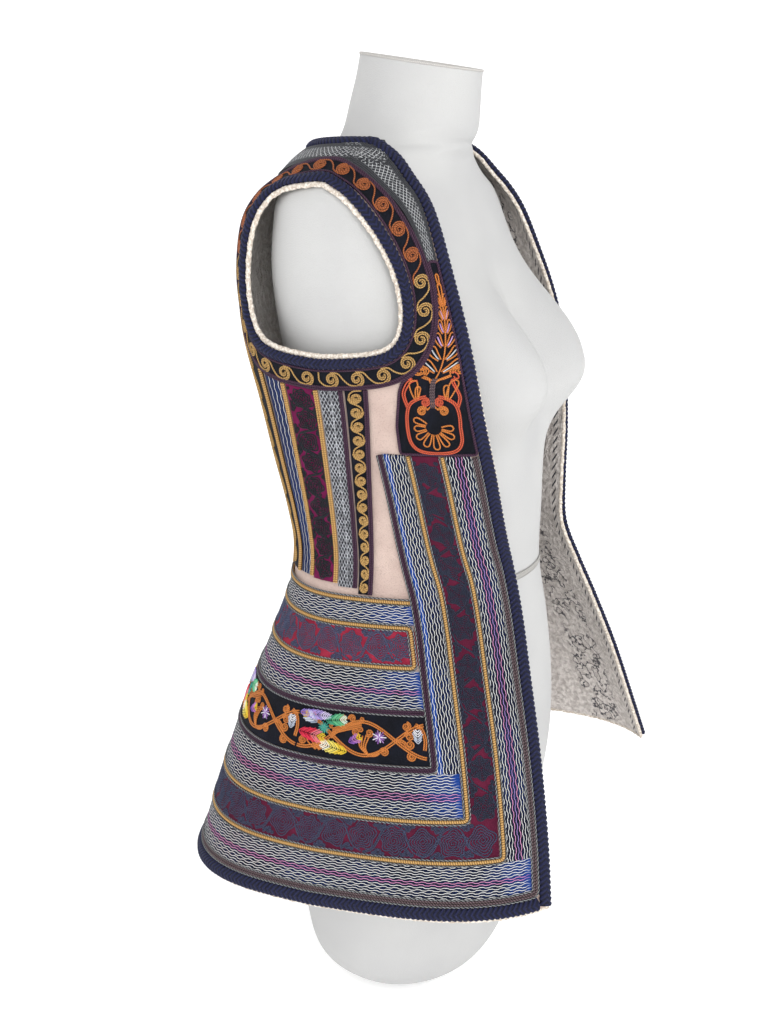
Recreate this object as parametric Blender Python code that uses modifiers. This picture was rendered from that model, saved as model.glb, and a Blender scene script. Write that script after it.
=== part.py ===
"""Embroidered folk vest on a limbless dress form.

Metres, +Z up. The wearer's front faces -Y and the wearer's right is -X.
The form stands on its flat base at z = 0. Angles run round the body: 0 is the
middle of the back, 90 degrees the wearer's right side, 180 the middle front.
"""

import bpy
import numpy as np

# Cloth and trim sizes
WALL = 0.003
LIFT = 0.0013
STRIP = 0.0012
CORD = 0.0030
BRAID = 0.0045
BRAID_WIDTH = 0.0105
SEAM_GAP = 0.0003
PIECE_GAP = 0.0007
TURN_GAP = 0.0025

# Moves the whole model so that the middle of its outer box stands over the origin
SHIFT_Y = 0.0152

# How the hem rises towards the front corners and dips behind the sides
HEM_LIFT = 0.016
BACK_DROP = 0.008
NECK_DROP = 0.006

# Each row of the vest's inner face, from hem to shoulder:
# height, half width, back depth, centre y, squareness, front edge x and y
VEST_ROWS = np.array([
    (0.1810, 0.240, 0.170, 0.000, 3.4, 0.1850, -0.2040),
    (0.2360, 0.222, 0.158, 0.002, 3.0, 0.1630, -0.1930),
    (0.3090, 0.200, 0.137, 0.005, 2.6, 0.1380, -0.1760),
    (0.3770, 0.172, 0.112, 0.008, 2.3, 0.1130, -0.1570),
    (0.4250, 0.148, 0.095, 0.010, 2.2, 0.0940, -0.1430),
    (0.4690, 0.135, 0.088, 0.012, 2.2, 0.0830, -0.1300),
    (0.5100, 0.136, 0.091, 0.014, 2.3, 0.0940, -0.1250),
    (0.5630, 0.145, 0.100, 0.016, 2.4, 0.1110, -0.1210),
    (0.6160, 0.155, 0.107, 0.018, 2.5, 0.1250, -0.1140),
    (0.6660, 0.163, 0.113, 0.022, 2.6, 0.1310, -0.1050),
    (0.7010, 0.165, 0.116, 0.024, 2.6, 0.1295, -0.0950),
    (0.7360, 0.165, 0.116, 0.026, 2.6, 0.1245, -0.0820),
    (0.7750, 0.165, 0.108, 0.025, 2.7, 0.1175, -0.0660),
    (0.7970, 0.161, 0.098, 0.022, 2.6, 0.1105, -0.0530),
    (0.8140, 0.149, 0.090, 0.019, 2.1, 0.1060, -0.0385),
    (0.8280, 0.132, 0.083, 0.018, 1.9, 0.1020, -0.0270),
    (0.8380, 0.112, 0.076, 0.015, 1.9, 0.0985, -0.0130),
    (0.8435, 0.098, 0.074, 0.013, 1.9, 0.0950, 0.0000),
])
TOP = len(VEST_ROWS) - 1

# Each row of the dress form, from base to neck:
# height, half width, front depth, back depth, centre y, squareness
FORM_ROWS = np.array([
    (0.0000, 0.072, 0.056, 0.072, -0.006, 2.0),
    (0.0050, 0.092, 0.070, 0.083, -0.006, 2.0),
    (0.0180, 0.115, 0.084, 0.093, -0.005, 2.0),
    (0.0450, 0.140, 0.098, 0.101, -0.004, 2.0),
    (0.0900, 0.154, 0.110, 0.107, -0.004, 2.0),
    (0.1400, 0.161, 0.120, 0.114, -0.004, 2.1),
    (0.2000, 0.165, 0.130, 0.120, -0.004, 2.1),
    (0.2600, 0.165, 0.137, 0.120, -0.004, 2.1),
    (0.3200, 0.155, 0.137, 0.111, -0.004, 2.1),
    (0.3800, 0.137, 0.132, 0.098, -0.004, 2.1),
    (0.4460, 0.118, 0.123, 0.084, -0.004, 2.1),
    (0.5060, 0.124, 0.125, 0.087, -0.002, 2.1),
    (0.5660, 0.135, 0.124, 0.093, 0.000, 2.2),
    (0.6260, 0.144, 0.118, 0.100, 0.004, 2.3),
    (0.6860, 0.151, 0.104, 0.102, 0.008, 2.6),
    (0.7360, 0.157, 0.089, 0.098, 0.012, 2.8),
    (0.7760, 0.159, 0.077, 0.090, 0.015, 2.8),
    (0.7980, 0.157, 0.070, 0.084, 0.017, 2.7),
    (0.8140, 0.148, 0.066, 0.078, 0.018, 2.1),
    (0.8280, 0.131, 0.064, 0.072, 0.017, 1.8),
    (0.8380, 0.111, 0.065, 0.067, 0.014, 1.6),
    (0.8435, 0.097, 0.065, 0.064, 0.012, 1.5),
    (0.8500, 0.081, 0.066, 0.062, 0.009, 1.6),
    (0.8600, 0.068, 0.065, 0.059, 0.006, 1.9),
    (0.8780, 0.060, 0.062, 0.058, 0.002, 2.0),
    (0.8980, 0.057, 0.059, 0.056, -0.002, 2.0),
    (0.9150, 0.056, 0.057, 0.055, -0.005, 2.0),
])
WAIST_ROW = 10
TAPE_HALF = 0.08
TAPE = 0.0008
NECK_BASE_ROW = 23
NECK_TILT = 0.0085

# Bust of the form: place across and up, how far it stands out, and its reach
BUST_X, BUST_Z, BUST_OUT = 0.078, 0.641, 0.056
BUST_WIDE, BUST_UP, BUST_DOWN = 0.052, 0.075, 0.052
BUST_ROWS = (11.5, 12.4, 12.7, 13.25, 13.6, 14.4)

# Row of the back's waist seam, half its gap in rows, and the rows kept clear of it
WAIST_SEAM, SEAM_ROWS, SEAM_CLEAR = 4.40, 0.005, 0.10

# Armhole seen from the side: middle and half sizes
ARM_Y, ARM_Z = 0.028, 0.7390
ARM_WIDE, ARM_HIGH = 0.0725, 0.0735
ARM_LEAN = 0.25
ARM_TILT = 0.010
ARM_BAND = 0.0155
ARM_TURNS = 20

# Skirt bands from the hem up: name, strip width and width of the cord above it
SKIRT_BANDS = (
    ("skirt_band_wave_hem", 0.0290, 0.0050),
    ("skirt_band_rosette_low", 0.0300, 0.0050),
    ("skirt_band_wave_low", 0.0380, 0.0060),
    ("skirt_band_flower", 0.0430, 0.0060),
    ("skirt_band_wave_high", 0.0330, 0.0050),
    ("skirt_band_rosette_high", 0.0310, 0.0050),
    ("skirt_band_wave_waist", 0.0180, 0.0050),
)
HEM_CORD = 0.0065

# Front border strips from the edge in: name, strip width and width of the cord past it
BORDER_STRIPS = (
    ("border_wave_inner", 0.0215, 0.0050),
    ("border_rosette", 0.0235, 0.0050),
    ("border_wave_outer", 0.0195, 0.0045),
)
BORDER_START = BRAID_WIDTH + 0.0065
BORDER_TOP = 7.30

# Chest panel: rows, and how far its outer side lies from the front edge
CHEST_OUTLINE = np.array([
    (7.42, 0.0760),
    (7.90, 0.0735),
    (8.50, 0.0650),
    (8.80, 0.0570),
    (9.20, 0.0460),
    (9.70, 0.0375),
    (10.30, 0.0325),
    (10.80, 0.0305),
    (11.30, 0.0295),
])
NECK_BAND = 0.0120

# Underarm panel: angles of its back and front edges, above and at the waist
UNDERARM_LOW = 4.62
UNDERARM_BACK = (65.0, 64.0)
UNDERARM_FRONT = (101.5, 105.5)
STRIP_BACK = (52.0, 48.0)
STRIP_FRONT = (62.5, 61.5)

COLOURS = {
    "felt": (0.80, 0.74, 0.66),
    "navy_braid": (0.020, 0.024, 0.085),
    "black_cloth": (0.012, 0.013, 0.020),
    "blue_cloth": (0.020, 0.040, 0.110),
    "plum_cloth": (0.115, 0.016, 0.030),
    "red_cloth": (0.330, 0.030, 0.060),
    "grey_cloth": (0.070, 0.072, 0.078),
    "jersey": (0.78, 0.79, 0.80),
    "tape": (0.42, 0.42, 0.41),
}


def clear_scene():
    for thing in list(bpy.data.objects):
        bpy.data.objects.remove(thing, do_unlink=True)


def row_values(table, t):
    """Smooth values of each column of a table at row number t, whole or between rows."""
    t = np.asarray(t, float)
    slopes = np.gradient(table, axis=0)
    low = np.clip(np.floor(t).astype(int), 0, len(table) - 2)
    u = (t - low)[..., None]
    start = (1 + 2 * u) * (1 - u) ** 2 * table[low] + u * (1 - u) ** 2 * slopes[low]
    end = u * u * (3 - 2 * u) * table[low + 1] + u * u * (u - 1) * slopes[low + 1]
    return np.moveaxis(start + end, -1, 0)


def ring_point(angle, half_width, front, back, centre, square):
    """A point of a rounded, slightly square ring round the body."""
    side = np.abs(np.sin(angle)) / half_width
    ahead = np.abs(np.cos(angle)) / np.where(np.cos(angle) < 0, front, back)
    radius = (side**square + ahead**square) ** (-1 / square)
    return -radius * np.sin(angle), centre + radius * np.cos(angle)


def form_point(angle, t):
    height, half_width, front, back, centre, square = row_values(FORM_ROWS, t)
    x, y = ring_point(angle, half_width, front, back, centre, square)
    reach = np.where(height > BUST_Z, BUST_UP, BUST_DOWN)
    away = ((np.abs(x) - BUST_X) / BUST_WIDE) ** 2 + ((height - BUST_Z) / reach) ** 2
    y = y - BUST_OUT * np.exp(-(away**1.15)) * np.sqrt(np.clip(-np.cos(angle), 0, 1))
    neck = np.clip((t - NECK_BASE_ROW) / (len(FORM_ROWS) - 1 - NECK_BASE_ROW), 0, 1)
    return np.stack([x, y, height + NECK_TILT * neck * np.cos(angle)], -1)


def vest_ring(t):
    """Ring sizes of the vest at row t, and the angle of its front edge."""
    height, half_width, back, centre, square, edge_x, edge_y = row_values(VEST_ROWS, t)
    share = np.clip(1 - (edge_x / half_width) ** square, 1e-3, 1)
    front = (centre - edge_y) / share ** (1 / square)
    return height, half_width, front, back, centre, square, np.pi - np.arctan2(edge_x, centre - edge_y)


def inner_face(angle, t):
    height, half_width, front, back, centre, square, edge = vest_ring(t)
    x, y = ring_point(angle, half_width, front, back, centre, square)
    turn = np.abs(angle)
    ahead = np.clip((turn - np.pi / 2) / (edge - np.pi / 2), 0, 1)
    behind = np.clip((np.pi / 2 - turn) / (np.pi / 4), 0, 1)
    low = np.clip(1 - t / 5, 0, 1)
    high = np.clip((t - 13) / 4, 0, 1)
    height = height + HEM_LIFT * ahead * low - BACK_DROP * behind**2 * low**2
    height = height - NECK_DROP * np.clip(np.cos(angle), 0, 1) ** 2 * high**2
    return np.stack([x, y, height + 0 * x], -1)


def slopes_at(angle, t):
    """How the face moves with angle and with row, and its outward normal."""
    step = 1e-3
    round_body = (inner_face(angle + step, t) - inner_face(angle - step, t)) / (2 * step)
    above, below = np.minimum(t + step, TOP), np.maximum(t - step, 0)
    up_body = (inner_face(angle, above) - inner_face(angle, below)) / (above - below)[..., None]
    normal = np.cross(round_body, up_body)
    normal = normal / np.linalg.norm(normal, axis=-1, keepdims=True)
    return round_body, up_body, normal


def vest_point(angle, t, out=0.0):
    """A point on the vest, moved out from its inner face."""
    angle, t = np.broadcast_arrays(np.asarray(angle, float), np.asarray(t, float))
    return inner_face(angle, t) + out * slopes_at(angle, t)[2]


def step_sideways(angle, t, distance, closed=False, steps=6):
    """Moves a line that lies on the cloth sideways over it, to the right of its travel."""
    for _ in range(steps):
        points = inner_face(angle, t)
        if closed:
            along = np.roll(points, -1, axis=0) - np.roll(points, 1, axis=0)
        else:
            along = np.gradient(points, axis=0)
        along /= np.linalg.norm(along, axis=-1, keepdims=True)
        round_body, up_body, normal = slopes_at(angle, t)
        aside = np.cross(along, normal) * distance / steps
        a, b, c = (round_body**2).sum(-1), (round_body * up_body).sum(-1), (up_body**2).sum(-1)
        p, q = (round_body * aside).sum(-1), (up_body * aside).sum(-1)
        spread = a * c - b * b
        angle = angle + (c * p - b * q) / spread
        t = np.clip(t + (a * q - b * p) / spread, 0, TOP)
    return angle, t


def front_inset(distance, t):
    """Angle, at rows t, of a line this far inside the right front edge."""
    rows = np.linspace(0, 12.5, 61)
    angle, moved = step_sideways(vest_ring(rows)[-1], rows, -distance)
    return np.interp(t, moved, angle)


def rows_at_heights(distances):
    """Rows at these distances above the hem, along the cloth just before the side seam."""
    rows = np.linspace(0, 8, 401)
    line = inner_face(np.full_like(rows, np.radians(95)), rows)
    length = np.concatenate([[0], np.cumsum(np.linalg.norm(np.diff(line, axis=0), axis=1))])
    return np.interp(distances, length, rows)


def rows_for_height(height):
    rows = np.linspace(0, TOP, 1701)
    return np.interp(height, row_values(VEST_ROWS, rows)[0], rows)


def angle_at_depth(t, y):
    """Angle, on the right side, where the ring at row t passes this y."""
    low, high = np.full_like(t, 0.2), np.full_like(t, 2.9)
    for _ in range(40):
        middle = (low + high) / 2
        behind = inner_face(middle, t)[..., 1] > y
        low, high = np.where(behind, middle, low), np.where(behind, high, middle)
    return (low + high) / 2


def armhole_side(turn, towards):
    """Half of the armhole's edge: turn runs -90 to 90 degrees from its bottom to its top."""
    height = ARM_Z + ARM_HIGH * np.sin(turn)
    rise = np.sin(turn)
    reach = ARM_WIDE * np.cos(turn).clip(0, 1) ** (0.6 + 0.12 * rise) * (1 - ARM_LEAN * rise)
    t = rows_for_height(height)
    angle = angle_at_depth(t, ARM_Y + ARM_TILT * rise + towards * reach)
    blend = np.abs(np.sin(turn)) ** 24
    return angle * (1 - blend) + np.pi / 2 * blend, t


def armhole_line(count):
    """The whole armhole edge as a closed line, up its back side and down its front side."""
    turn = np.radians(np.linspace(-90, 90, count + 1))
    up, down = armhole_side(turn, 1), armhole_side(turn[::-1], -1)
    return np.concatenate([up[0][:-1], down[0][:-1]]), np.concatenate([up[1][:-1], down[1][:-1]])


def opening_line():
    """Front edge up, round the back of the neck, and down the other front edge."""
    rows = np.concatenate([np.linspace(0, 8, 12), np.linspace(8.7, TOP, 12)])
    edge = vest_ring(rows)[-1]
    neck = np.radians(np.linspace(90, -90, 17))
    angle = np.concatenate([edge, neck, -edge[::-1]])
    return angle, np.concatenate([rows, np.full(len(neck), float(TOP)), rows[::-1]])


def material(name):
    shade = bpy.data.materials.get(name)
    if shade is None:
        shade = bpy.data.materials.new(name)
        shade.use_nodes = True
        shader = shade.node_tree.nodes["Principled BSDF"]
        shader.inputs["Base Color"].default_value = (*COLOURS[name], 1)
        shader.inputs["Roughness"].default_value = 0.85
        shader.inputs["Metallic"].default_value = 0.0
    return shade


def add_object(name, points, faces, cloth):
    mesh = bpy.data.meshes.new(name)
    mesh.from_pydata([(x, y + SHIFT_Y, z) for x, y, z in points], [], faces)
    mesh.materials.append(material(cloth))
    mesh.shade_smooth()
    piece = bpy.data.objects.new(name, mesh)
    garment.objects.link(piece)
    return piece


def add_sheet(name, grid, cloth, thickness, heights=None, closed=False):
    """An open grid of points given its thickness outwards; heights gives each column's share."""
    rows, columns = grid.shape[:2]
    points = grid.reshape(-1, 3)
    last = rows if closed else rows - 1
    faces = []
    for row in range(last):
        for column in range(columns - 1):
            a, b = row * columns + column, (row + 1) % rows * columns + column
            faces.append((a, a + 1, b + 1, b))
    corners = points[np.array(faces)]
    facing = np.cross(corners[:, 1] - corners[:, 0], corners[:, 3] - corners[:, 0])
    outwards = corners.mean(axis=1) - np.array([0.0, 0.015, 0.0])
    outwards[:, 2] = 0
    if (facing * outwards).sum() < 0:
        faces = [face[::-1] for face in faces]
    piece = add_object(name, points, faces, cloth)
    wall = piece.modifiers.new("wall", "SOLIDIFY")
    wall.thickness = thickness
    wall.offset = 1
    if heights is not None:
        group = piece.vertex_groups.new(name="height")
        for column, share in enumerate(heights):
            group.add([row * columns + column for row in range(rows)], share, "REPLACE")
        wall.vertex_group = "height"
    return piece


def mirrored(grid):
    return grid * np.array([-1.0, 1.0, 1.0])


def add_pair(name, grid, cloth, thickness, heights=None, closed=False):
    """The right-hand piece and its mirror image on the left."""
    add_sheet(name + "_right", grid, cloth, thickness, heights, closed)
    add_sheet(name + "_left", mirrored(grid), cloth, thickness, heights, closed)


def wall_rows():
    """Rows of the wall, close together where the armhole's edge turns."""
    turns = np.radians(np.linspace(-90, 90, 14))
    t = armhole_side(turns, 1)[1]
    below = np.linspace(0, t[0], 21)
    above = np.linspace(t[-1], TOP, 6)
    return below[:-1], turns, above[1:]


def side_angles(towards):
    """Where the front and the back end at each row: the side seam, the armhole, the shoulder seam."""
    below, turns, above = wall_rows()
    angle, t = armhole_side(turns, towards)
    seam = np.full(len(below), np.pi / 2), np.full(len(above), np.pi / 2)
    rows = np.concatenate([below, t, above])
    ends = np.concatenate([seam[0], angle, seam[1]])
    radius = vest_ring(rows)[1]
    on_seam = np.abs(ends - np.pi / 2) < 1e-6
    return rows, ends - np.where(on_seam, towards * SEAM_GAP / 2 / radius, 0)


def add_walls():
    rows, start = side_angles(-1)
    edge = vest_ring(rows)[-1]
    angle = start[:, None] + (edge - start)[:, None] * FRONT_SHARES
    add_pair("front_panel", vest_point(angle, rows[:, None]), "felt", WALL)
    rows, end = side_angles(1)
    below, above = rows < WAIST_SEAM - SEAM_CLEAR, rows > WAIST_SEAM + SEAM_CLEAR
    across = np.concatenate([-BACK_SHARES[:0:-1], BACK_SHARES])
    for name, kept, side in (("back_skirt", below, -1), ("back_bodice", above, 1)):
        edge = WAIST_SEAM + side * SEAM_ROWS
        t = np.append(rows[kept], edge) if side < 0 else np.append(edge, rows[kept])
        angle = np.interp(t, rows, end)[:, None] * across
        add_sheet(name, vest_point(angle, t[:, None]), "felt", WALL)


def strip_between(lines, out):
    """A grid of points from lines on the cloth that lie side by side."""
    return np.stack([vest_point(angle, t, out) for angle, t in lines], axis=1)


BRAID_STATIONS = (SEAM_GAP, BRAID_WIDTH / 2, BRAID_WIDTH)
BRAID_SHARES = (0.45, 1.0, 0.45)
ON_CLOTH = WALL + LIFT


def add_braids():
    angle, t = opening_line()
    lines = [step_sideways(angle, t, -width) for width in BRAID_STATIONS]
    add_sheet("opening_braid", strip_between(lines, ON_CLOTH), "navy_braid", BRAID, BRAID_SHARES)
    start = np.zeros(1)
    angle = angles_round(start, front_inset(BRAID_WIDTH + 0.0012, start + 0.1))[::-1, 0]
    lines = [step_sideways(angle, np.zeros_like(angle), width) for width in BRAID_STATIONS]
    add_sheet("hem_braid", strip_between(lines, ON_CLOTH), "navy_braid", BRAID, BRAID_SHARES)
    angle, t = armhole_line(ARM_TURNS)
    lines = [step_sideways(angle, t, -width, closed=True) for width in BRAID_STATIONS]
    grid = strip_between(lines, ON_CLOTH)
    add_pair("armhole_braid", grid, "navy_braid", BRAID, BRAID_SHARES, closed=True)


def add_armhole_bands():
    angle, t = armhole_line(ARM_TURNS)
    start = BRAID_WIDTH + PIECE_GAP
    widths = (start, start + ARM_BAND)
    lines = [step_sideways(angle, t, -width, closed=True) for width in widths]
    add_pair("armhole_band", strip_between(lines, ON_CLOTH), "black_cloth", STRIP, closed=True)


BACK_SHARES = np.linspace(0, 1, 9)
FRONT_SHARES = np.linspace(0, 1, 8)


def angles_round(t, ends):
    """Angles round the body at rows t, at the stations of the walls, stopping at the end angles."""
    edge = vest_ring(t)[-1]
    last = (ends - np.pi / 2) / (edge - np.pi / 2)
    shares = FRONT_SHARES[1:][FRONT_SHARES[1:] < last.min() - 0.03]
    grid = [np.full_like(t, angle) for angle in BACK_SHARES * np.pi / 2]
    grid += [np.pi / 2 + share * (edge - np.pi / 2) for share in shares] + [ends]
    half = np.stack(grid)
    return np.concatenate([-half[:0:-1], half])


def strip_edges():
    """Start, end and cord end of each front border strip, from the front edge."""
    start = BORDER_START
    edges = []
    for name, width, cord in BORDER_STRIPS:
        edges.append((name, start, start + width, start + width + cord))
        start += width + cord + PIECE_GAP
    return edges


def band_edges():
    """Low edge, strip top and cord top of each skirt band, above the hem."""
    start = BRAID_WIDTH + HEM_CORD
    edges = []
    for name, width, cord in SKIRT_BANDS:
        edges.append((name, start, start + width, start + width + cord))
        start += width + cord + PIECE_GAP
    return edges


def with_cord(near, far, past):
    """Stations across a strip and the raised cord beside it."""
    return np.array([near, far, (far + past) / 2, past])


CORD_SHARES = (STRIP / CORD, STRIP / CORD, 1.0, STRIP / CORD)


def cloth_of(name):
    for word, cloth in (("wave", "blue_cloth"), ("flower", "black_cloth"), ("high", "red_cloth")):
        if word in name:
            return cloth
    return "plum_cloth"


def add_skirt_bands():
    strips = strip_edges()
    insets = (BORDER_START - 0.001, strips[0][3], strips[1][3]) + (strips[2][3],) * 4
    for (name, near, far, past), inset in zip(band_edges(), insets):
        t = rows_at_heights(with_cord(near, far, past))
        angle = angles_round(t, front_inset(inset + 0.0012, t))
        add_sheet(name, vest_point(angle, t, ON_CLOTH), cloth_of(name), CORD, CORD_SHARES)


def add_border_strips():
    for (name, near, far, past), band in zip(strip_edges(), band_edges()):
        low = rows_at_heights(band[3] + 0.0015)
        t = np.linspace(low, BORDER_TOP, 16)
        angle = np.stack([front_inset(distance, t) for distance in with_cord(near, far, past)], axis=1)
        add_pair(name, vest_point(angle, t[:, None], ON_CLOTH), cloth_of(name), CORD, CORD_SHARES)


def beside_armhole_band(t):
    """Angle, at rows t, just in front of the right armhole band; 0 below the band."""
    angle, rows = armhole_line(ARM_TURNS)
    past = BRAID_WIDTH + PIECE_GAP + ARM_BAND + TURN_GAP
    angle, rows = step_sideways(angle, rows, -past, closed=True)
    angle, rows = angle[ARM_TURNS:], rows[ARM_TURNS:]
    lowest = rows.argmin()
    return np.interp(t, rows[lowest::-1], angle[lowest::-1], left=0.0)


def add_chest_panels():
    t = np.linspace(CHEST_OUTLINE[0, 0], CHEST_OUTLINE[-1, 0], 16)
    distances = np.interp(t, *CHEST_OUTLINE.T)
    drawn = np.array([front_inset(distance, row) for distance, row in zip(distances, t)])
    outer = np.maximum(drawn, beside_armhole_band(t))[:, None]
    inner = front_inset(BRAID_WIDTH + PIECE_GAP, t)[:, None]
    angle = outer + (inner - outer) * np.linspace(0, 1, 5)
    add_pair("chest_panel", vest_point(angle, t[:, None], ON_CLOTH), "black_cloth", STRIP)


def add_neck_band():
    angle, t = opening_line()
    keep = np.flatnonzero(t > CHEST_OUTLINE[-1, 0] + 0.03)
    keep = slice(keep[0], keep[-1] + 1)
    start = BRAID_WIDTH + PIECE_GAP
    lines = []
    for width in np.linspace(start, start + NECK_BAND, 3):
        moved = step_sideways(angle, t, -width)
        lines.append((moved[0][keep], moved[1][keep]))
    add_sheet("neck_band", strip_between(lines, ON_CLOTH), "grey_cloth", STRIP)


def add_underarm_panels():
    angle, t = armhole_line(ARM_TURNS)
    past = BRAID_WIDTH + PIECE_GAP + ARM_BAND + TURN_GAP
    below = step_sideways(angle, t, -past, closed=True)
    low_half = below[1] < 9.9
    order = np.argsort(below[0][low_half])
    under_angle, under_row = below[0][low_half][order], below[1][low_half][order]
    stations = np.linspace(0, 1, 7)
    heights = np.linspace(0, 1, 8)
    for name, cloth, back, front, columns in (
        ("underarm_panel", "plum_cloth", UNDERARM_BACK, UNDERARM_FRONT, stations),
        ("back_strip", "black_cloth", STRIP_BACK, STRIP_FRONT, stations[::3]),
    ):
        angle, t = [], []
        for share in columns:
            low = np.radians(back[0] + (front[0] - back[0]) * share)
            high = np.radians(back[1] + (front[1] - back[1]) * share)
            ceiling = np.interp(high, under_angle, under_row)
            angle.append(low + (high - low) * heights)
            t.append(UNDERARM_LOW + (ceiling - UNDERARM_LOW) * heights)
        grid = vest_point(np.stack(angle, axis=1), np.stack(t, axis=1), ON_CLOTH)
        add_pair(name, grid, cloth, STRIP)


def add_form():
    rows = np.arange(len(FORM_ROWS), dtype=float)
    more = WAIST_ROW + np.array([-0.5, -TAPE_HALF, TAPE_HALF, 0.5])
    rows = np.sort(np.concatenate([rows, more, BUST_ROWS]))
    behind, ahead = np.linspace(-90, 90, 14, endpoint=False), np.linspace(90, 270, 28, endpoint=False)
    angle = np.radians(np.concatenate([behind, ahead]))
    columns = len(angle)
    points = form_point(angle[None, :], rows[:, None]).reshape(-1, 3)
    faces = []
    for row in range(len(rows) - 1):
        for column in range(columns):
            a, b = row * columns + column, row * columns + (column + 1) % columns
            faces.append((a, b, b + columns, a + columns))
    faces.append(tuple(reversed(range(columns))))
    faces.append(tuple(range(len(points) - columns, len(points))))
    add_object("dress_form", points, faces, "jersey")
    tape = [form_point(angle, np.full_like(angle, WAIST_ROW + part)) for part in (-TAPE_HALF, TAPE_HALF)]
    grid = np.stack(tape, axis=1)
    level = grid * np.array([1.0, 1.0, 0.0])
    grid = grid + SEAM_GAP * level / np.linalg.norm(level, axis=-1, keepdims=True)
    add_sheet("waist_tape", grid, "tape", TAPE, closed=True)


clear_scene()
garment = bpy.data.collections.new("folk_vest_on_form")
bpy.context.scene.collection.children.link(garment)
add_walls()
add_braids()
add_armhole_bands()
add_skirt_bands()
add_border_strips()
add_chest_panels()
add_neck_band()
add_underarm_panels()
add_form()
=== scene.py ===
# %% [markdown]
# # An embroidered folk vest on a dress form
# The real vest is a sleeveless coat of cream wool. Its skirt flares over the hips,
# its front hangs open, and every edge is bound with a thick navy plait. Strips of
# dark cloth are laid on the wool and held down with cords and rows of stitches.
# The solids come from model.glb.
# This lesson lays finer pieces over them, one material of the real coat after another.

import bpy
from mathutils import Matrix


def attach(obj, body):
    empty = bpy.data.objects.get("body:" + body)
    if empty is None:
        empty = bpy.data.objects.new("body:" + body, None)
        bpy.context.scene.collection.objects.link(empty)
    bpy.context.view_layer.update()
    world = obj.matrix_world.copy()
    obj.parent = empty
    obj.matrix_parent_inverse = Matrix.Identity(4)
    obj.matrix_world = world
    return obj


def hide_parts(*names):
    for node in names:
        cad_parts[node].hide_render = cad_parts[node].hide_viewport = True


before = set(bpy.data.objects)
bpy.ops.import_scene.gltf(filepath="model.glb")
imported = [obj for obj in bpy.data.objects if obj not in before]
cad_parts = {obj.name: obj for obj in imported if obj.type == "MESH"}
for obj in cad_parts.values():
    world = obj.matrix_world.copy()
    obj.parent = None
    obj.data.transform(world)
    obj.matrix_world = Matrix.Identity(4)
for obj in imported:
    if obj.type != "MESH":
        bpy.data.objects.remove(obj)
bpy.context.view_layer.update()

import bpy
import numpy as np
from mathutils import Vector

SIDES = ((1, "right"), (-1, "left"))
rng = np.random.default_rng(7)

# %% [markdown]
# ## The shape that the cloth takes
# A coat on a form is easiest to describe as rings. Each row of this table is one
# ring round the body, from the hem to the neck. It gives the height, half the
# width, the depth behind, the middle, how square the ring is, and where the front
# edge of the coat passes. The second table is the form's: height, half the width, the
# depth in front and behind, the middle, and how square. All measures are in metres.

# %% Rings of the vest and of the form
VEST_ROWS = np.array([
    (0.1810, 0.240, 0.170, 0.000, 3.4, 0.1850, -0.2040),
    (0.2360, 0.222, 0.158, 0.002, 3.0, 0.1630, -0.1930),
    (0.3090, 0.200, 0.137, 0.005, 2.6, 0.1380, -0.1760),
    (0.3770, 0.172, 0.112, 0.008, 2.3, 0.1130, -0.1570),
    (0.4250, 0.148, 0.095, 0.010, 2.2, 0.0940, -0.1430),
    (0.4690, 0.135, 0.088, 0.012, 2.2, 0.0830, -0.1300),
    (0.5100, 0.136, 0.091, 0.014, 2.3, 0.0940, -0.1250),
    (0.5630, 0.145, 0.100, 0.016, 2.4, 0.1110, -0.1210),
    (0.6160, 0.155, 0.107, 0.018, 2.5, 0.1250, -0.1140),
    (0.6660, 0.163, 0.113, 0.022, 2.6, 0.1310, -0.1050),
    (0.7010, 0.165, 0.116, 0.024, 2.6, 0.1295, -0.0950),
    (0.7360, 0.165, 0.116, 0.026, 2.6, 0.1245, -0.0820),
    (0.7750, 0.165, 0.108, 0.025, 2.7, 0.1175, -0.0660),
    (0.7970, 0.161, 0.098, 0.022, 2.6, 0.1105, -0.0530),
    (0.8140, 0.149, 0.090, 0.019, 2.1, 0.1060, -0.0385),
    (0.8280, 0.132, 0.083, 0.018, 1.9, 0.1020, -0.0270),
    (0.8380, 0.112, 0.076, 0.015, 1.9, 0.0985, -0.0130),
    (0.8435, 0.098, 0.074, 0.013, 1.9, 0.0950, 0.0000),
])
TOP = len(VEST_ROWS) - 1
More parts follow.
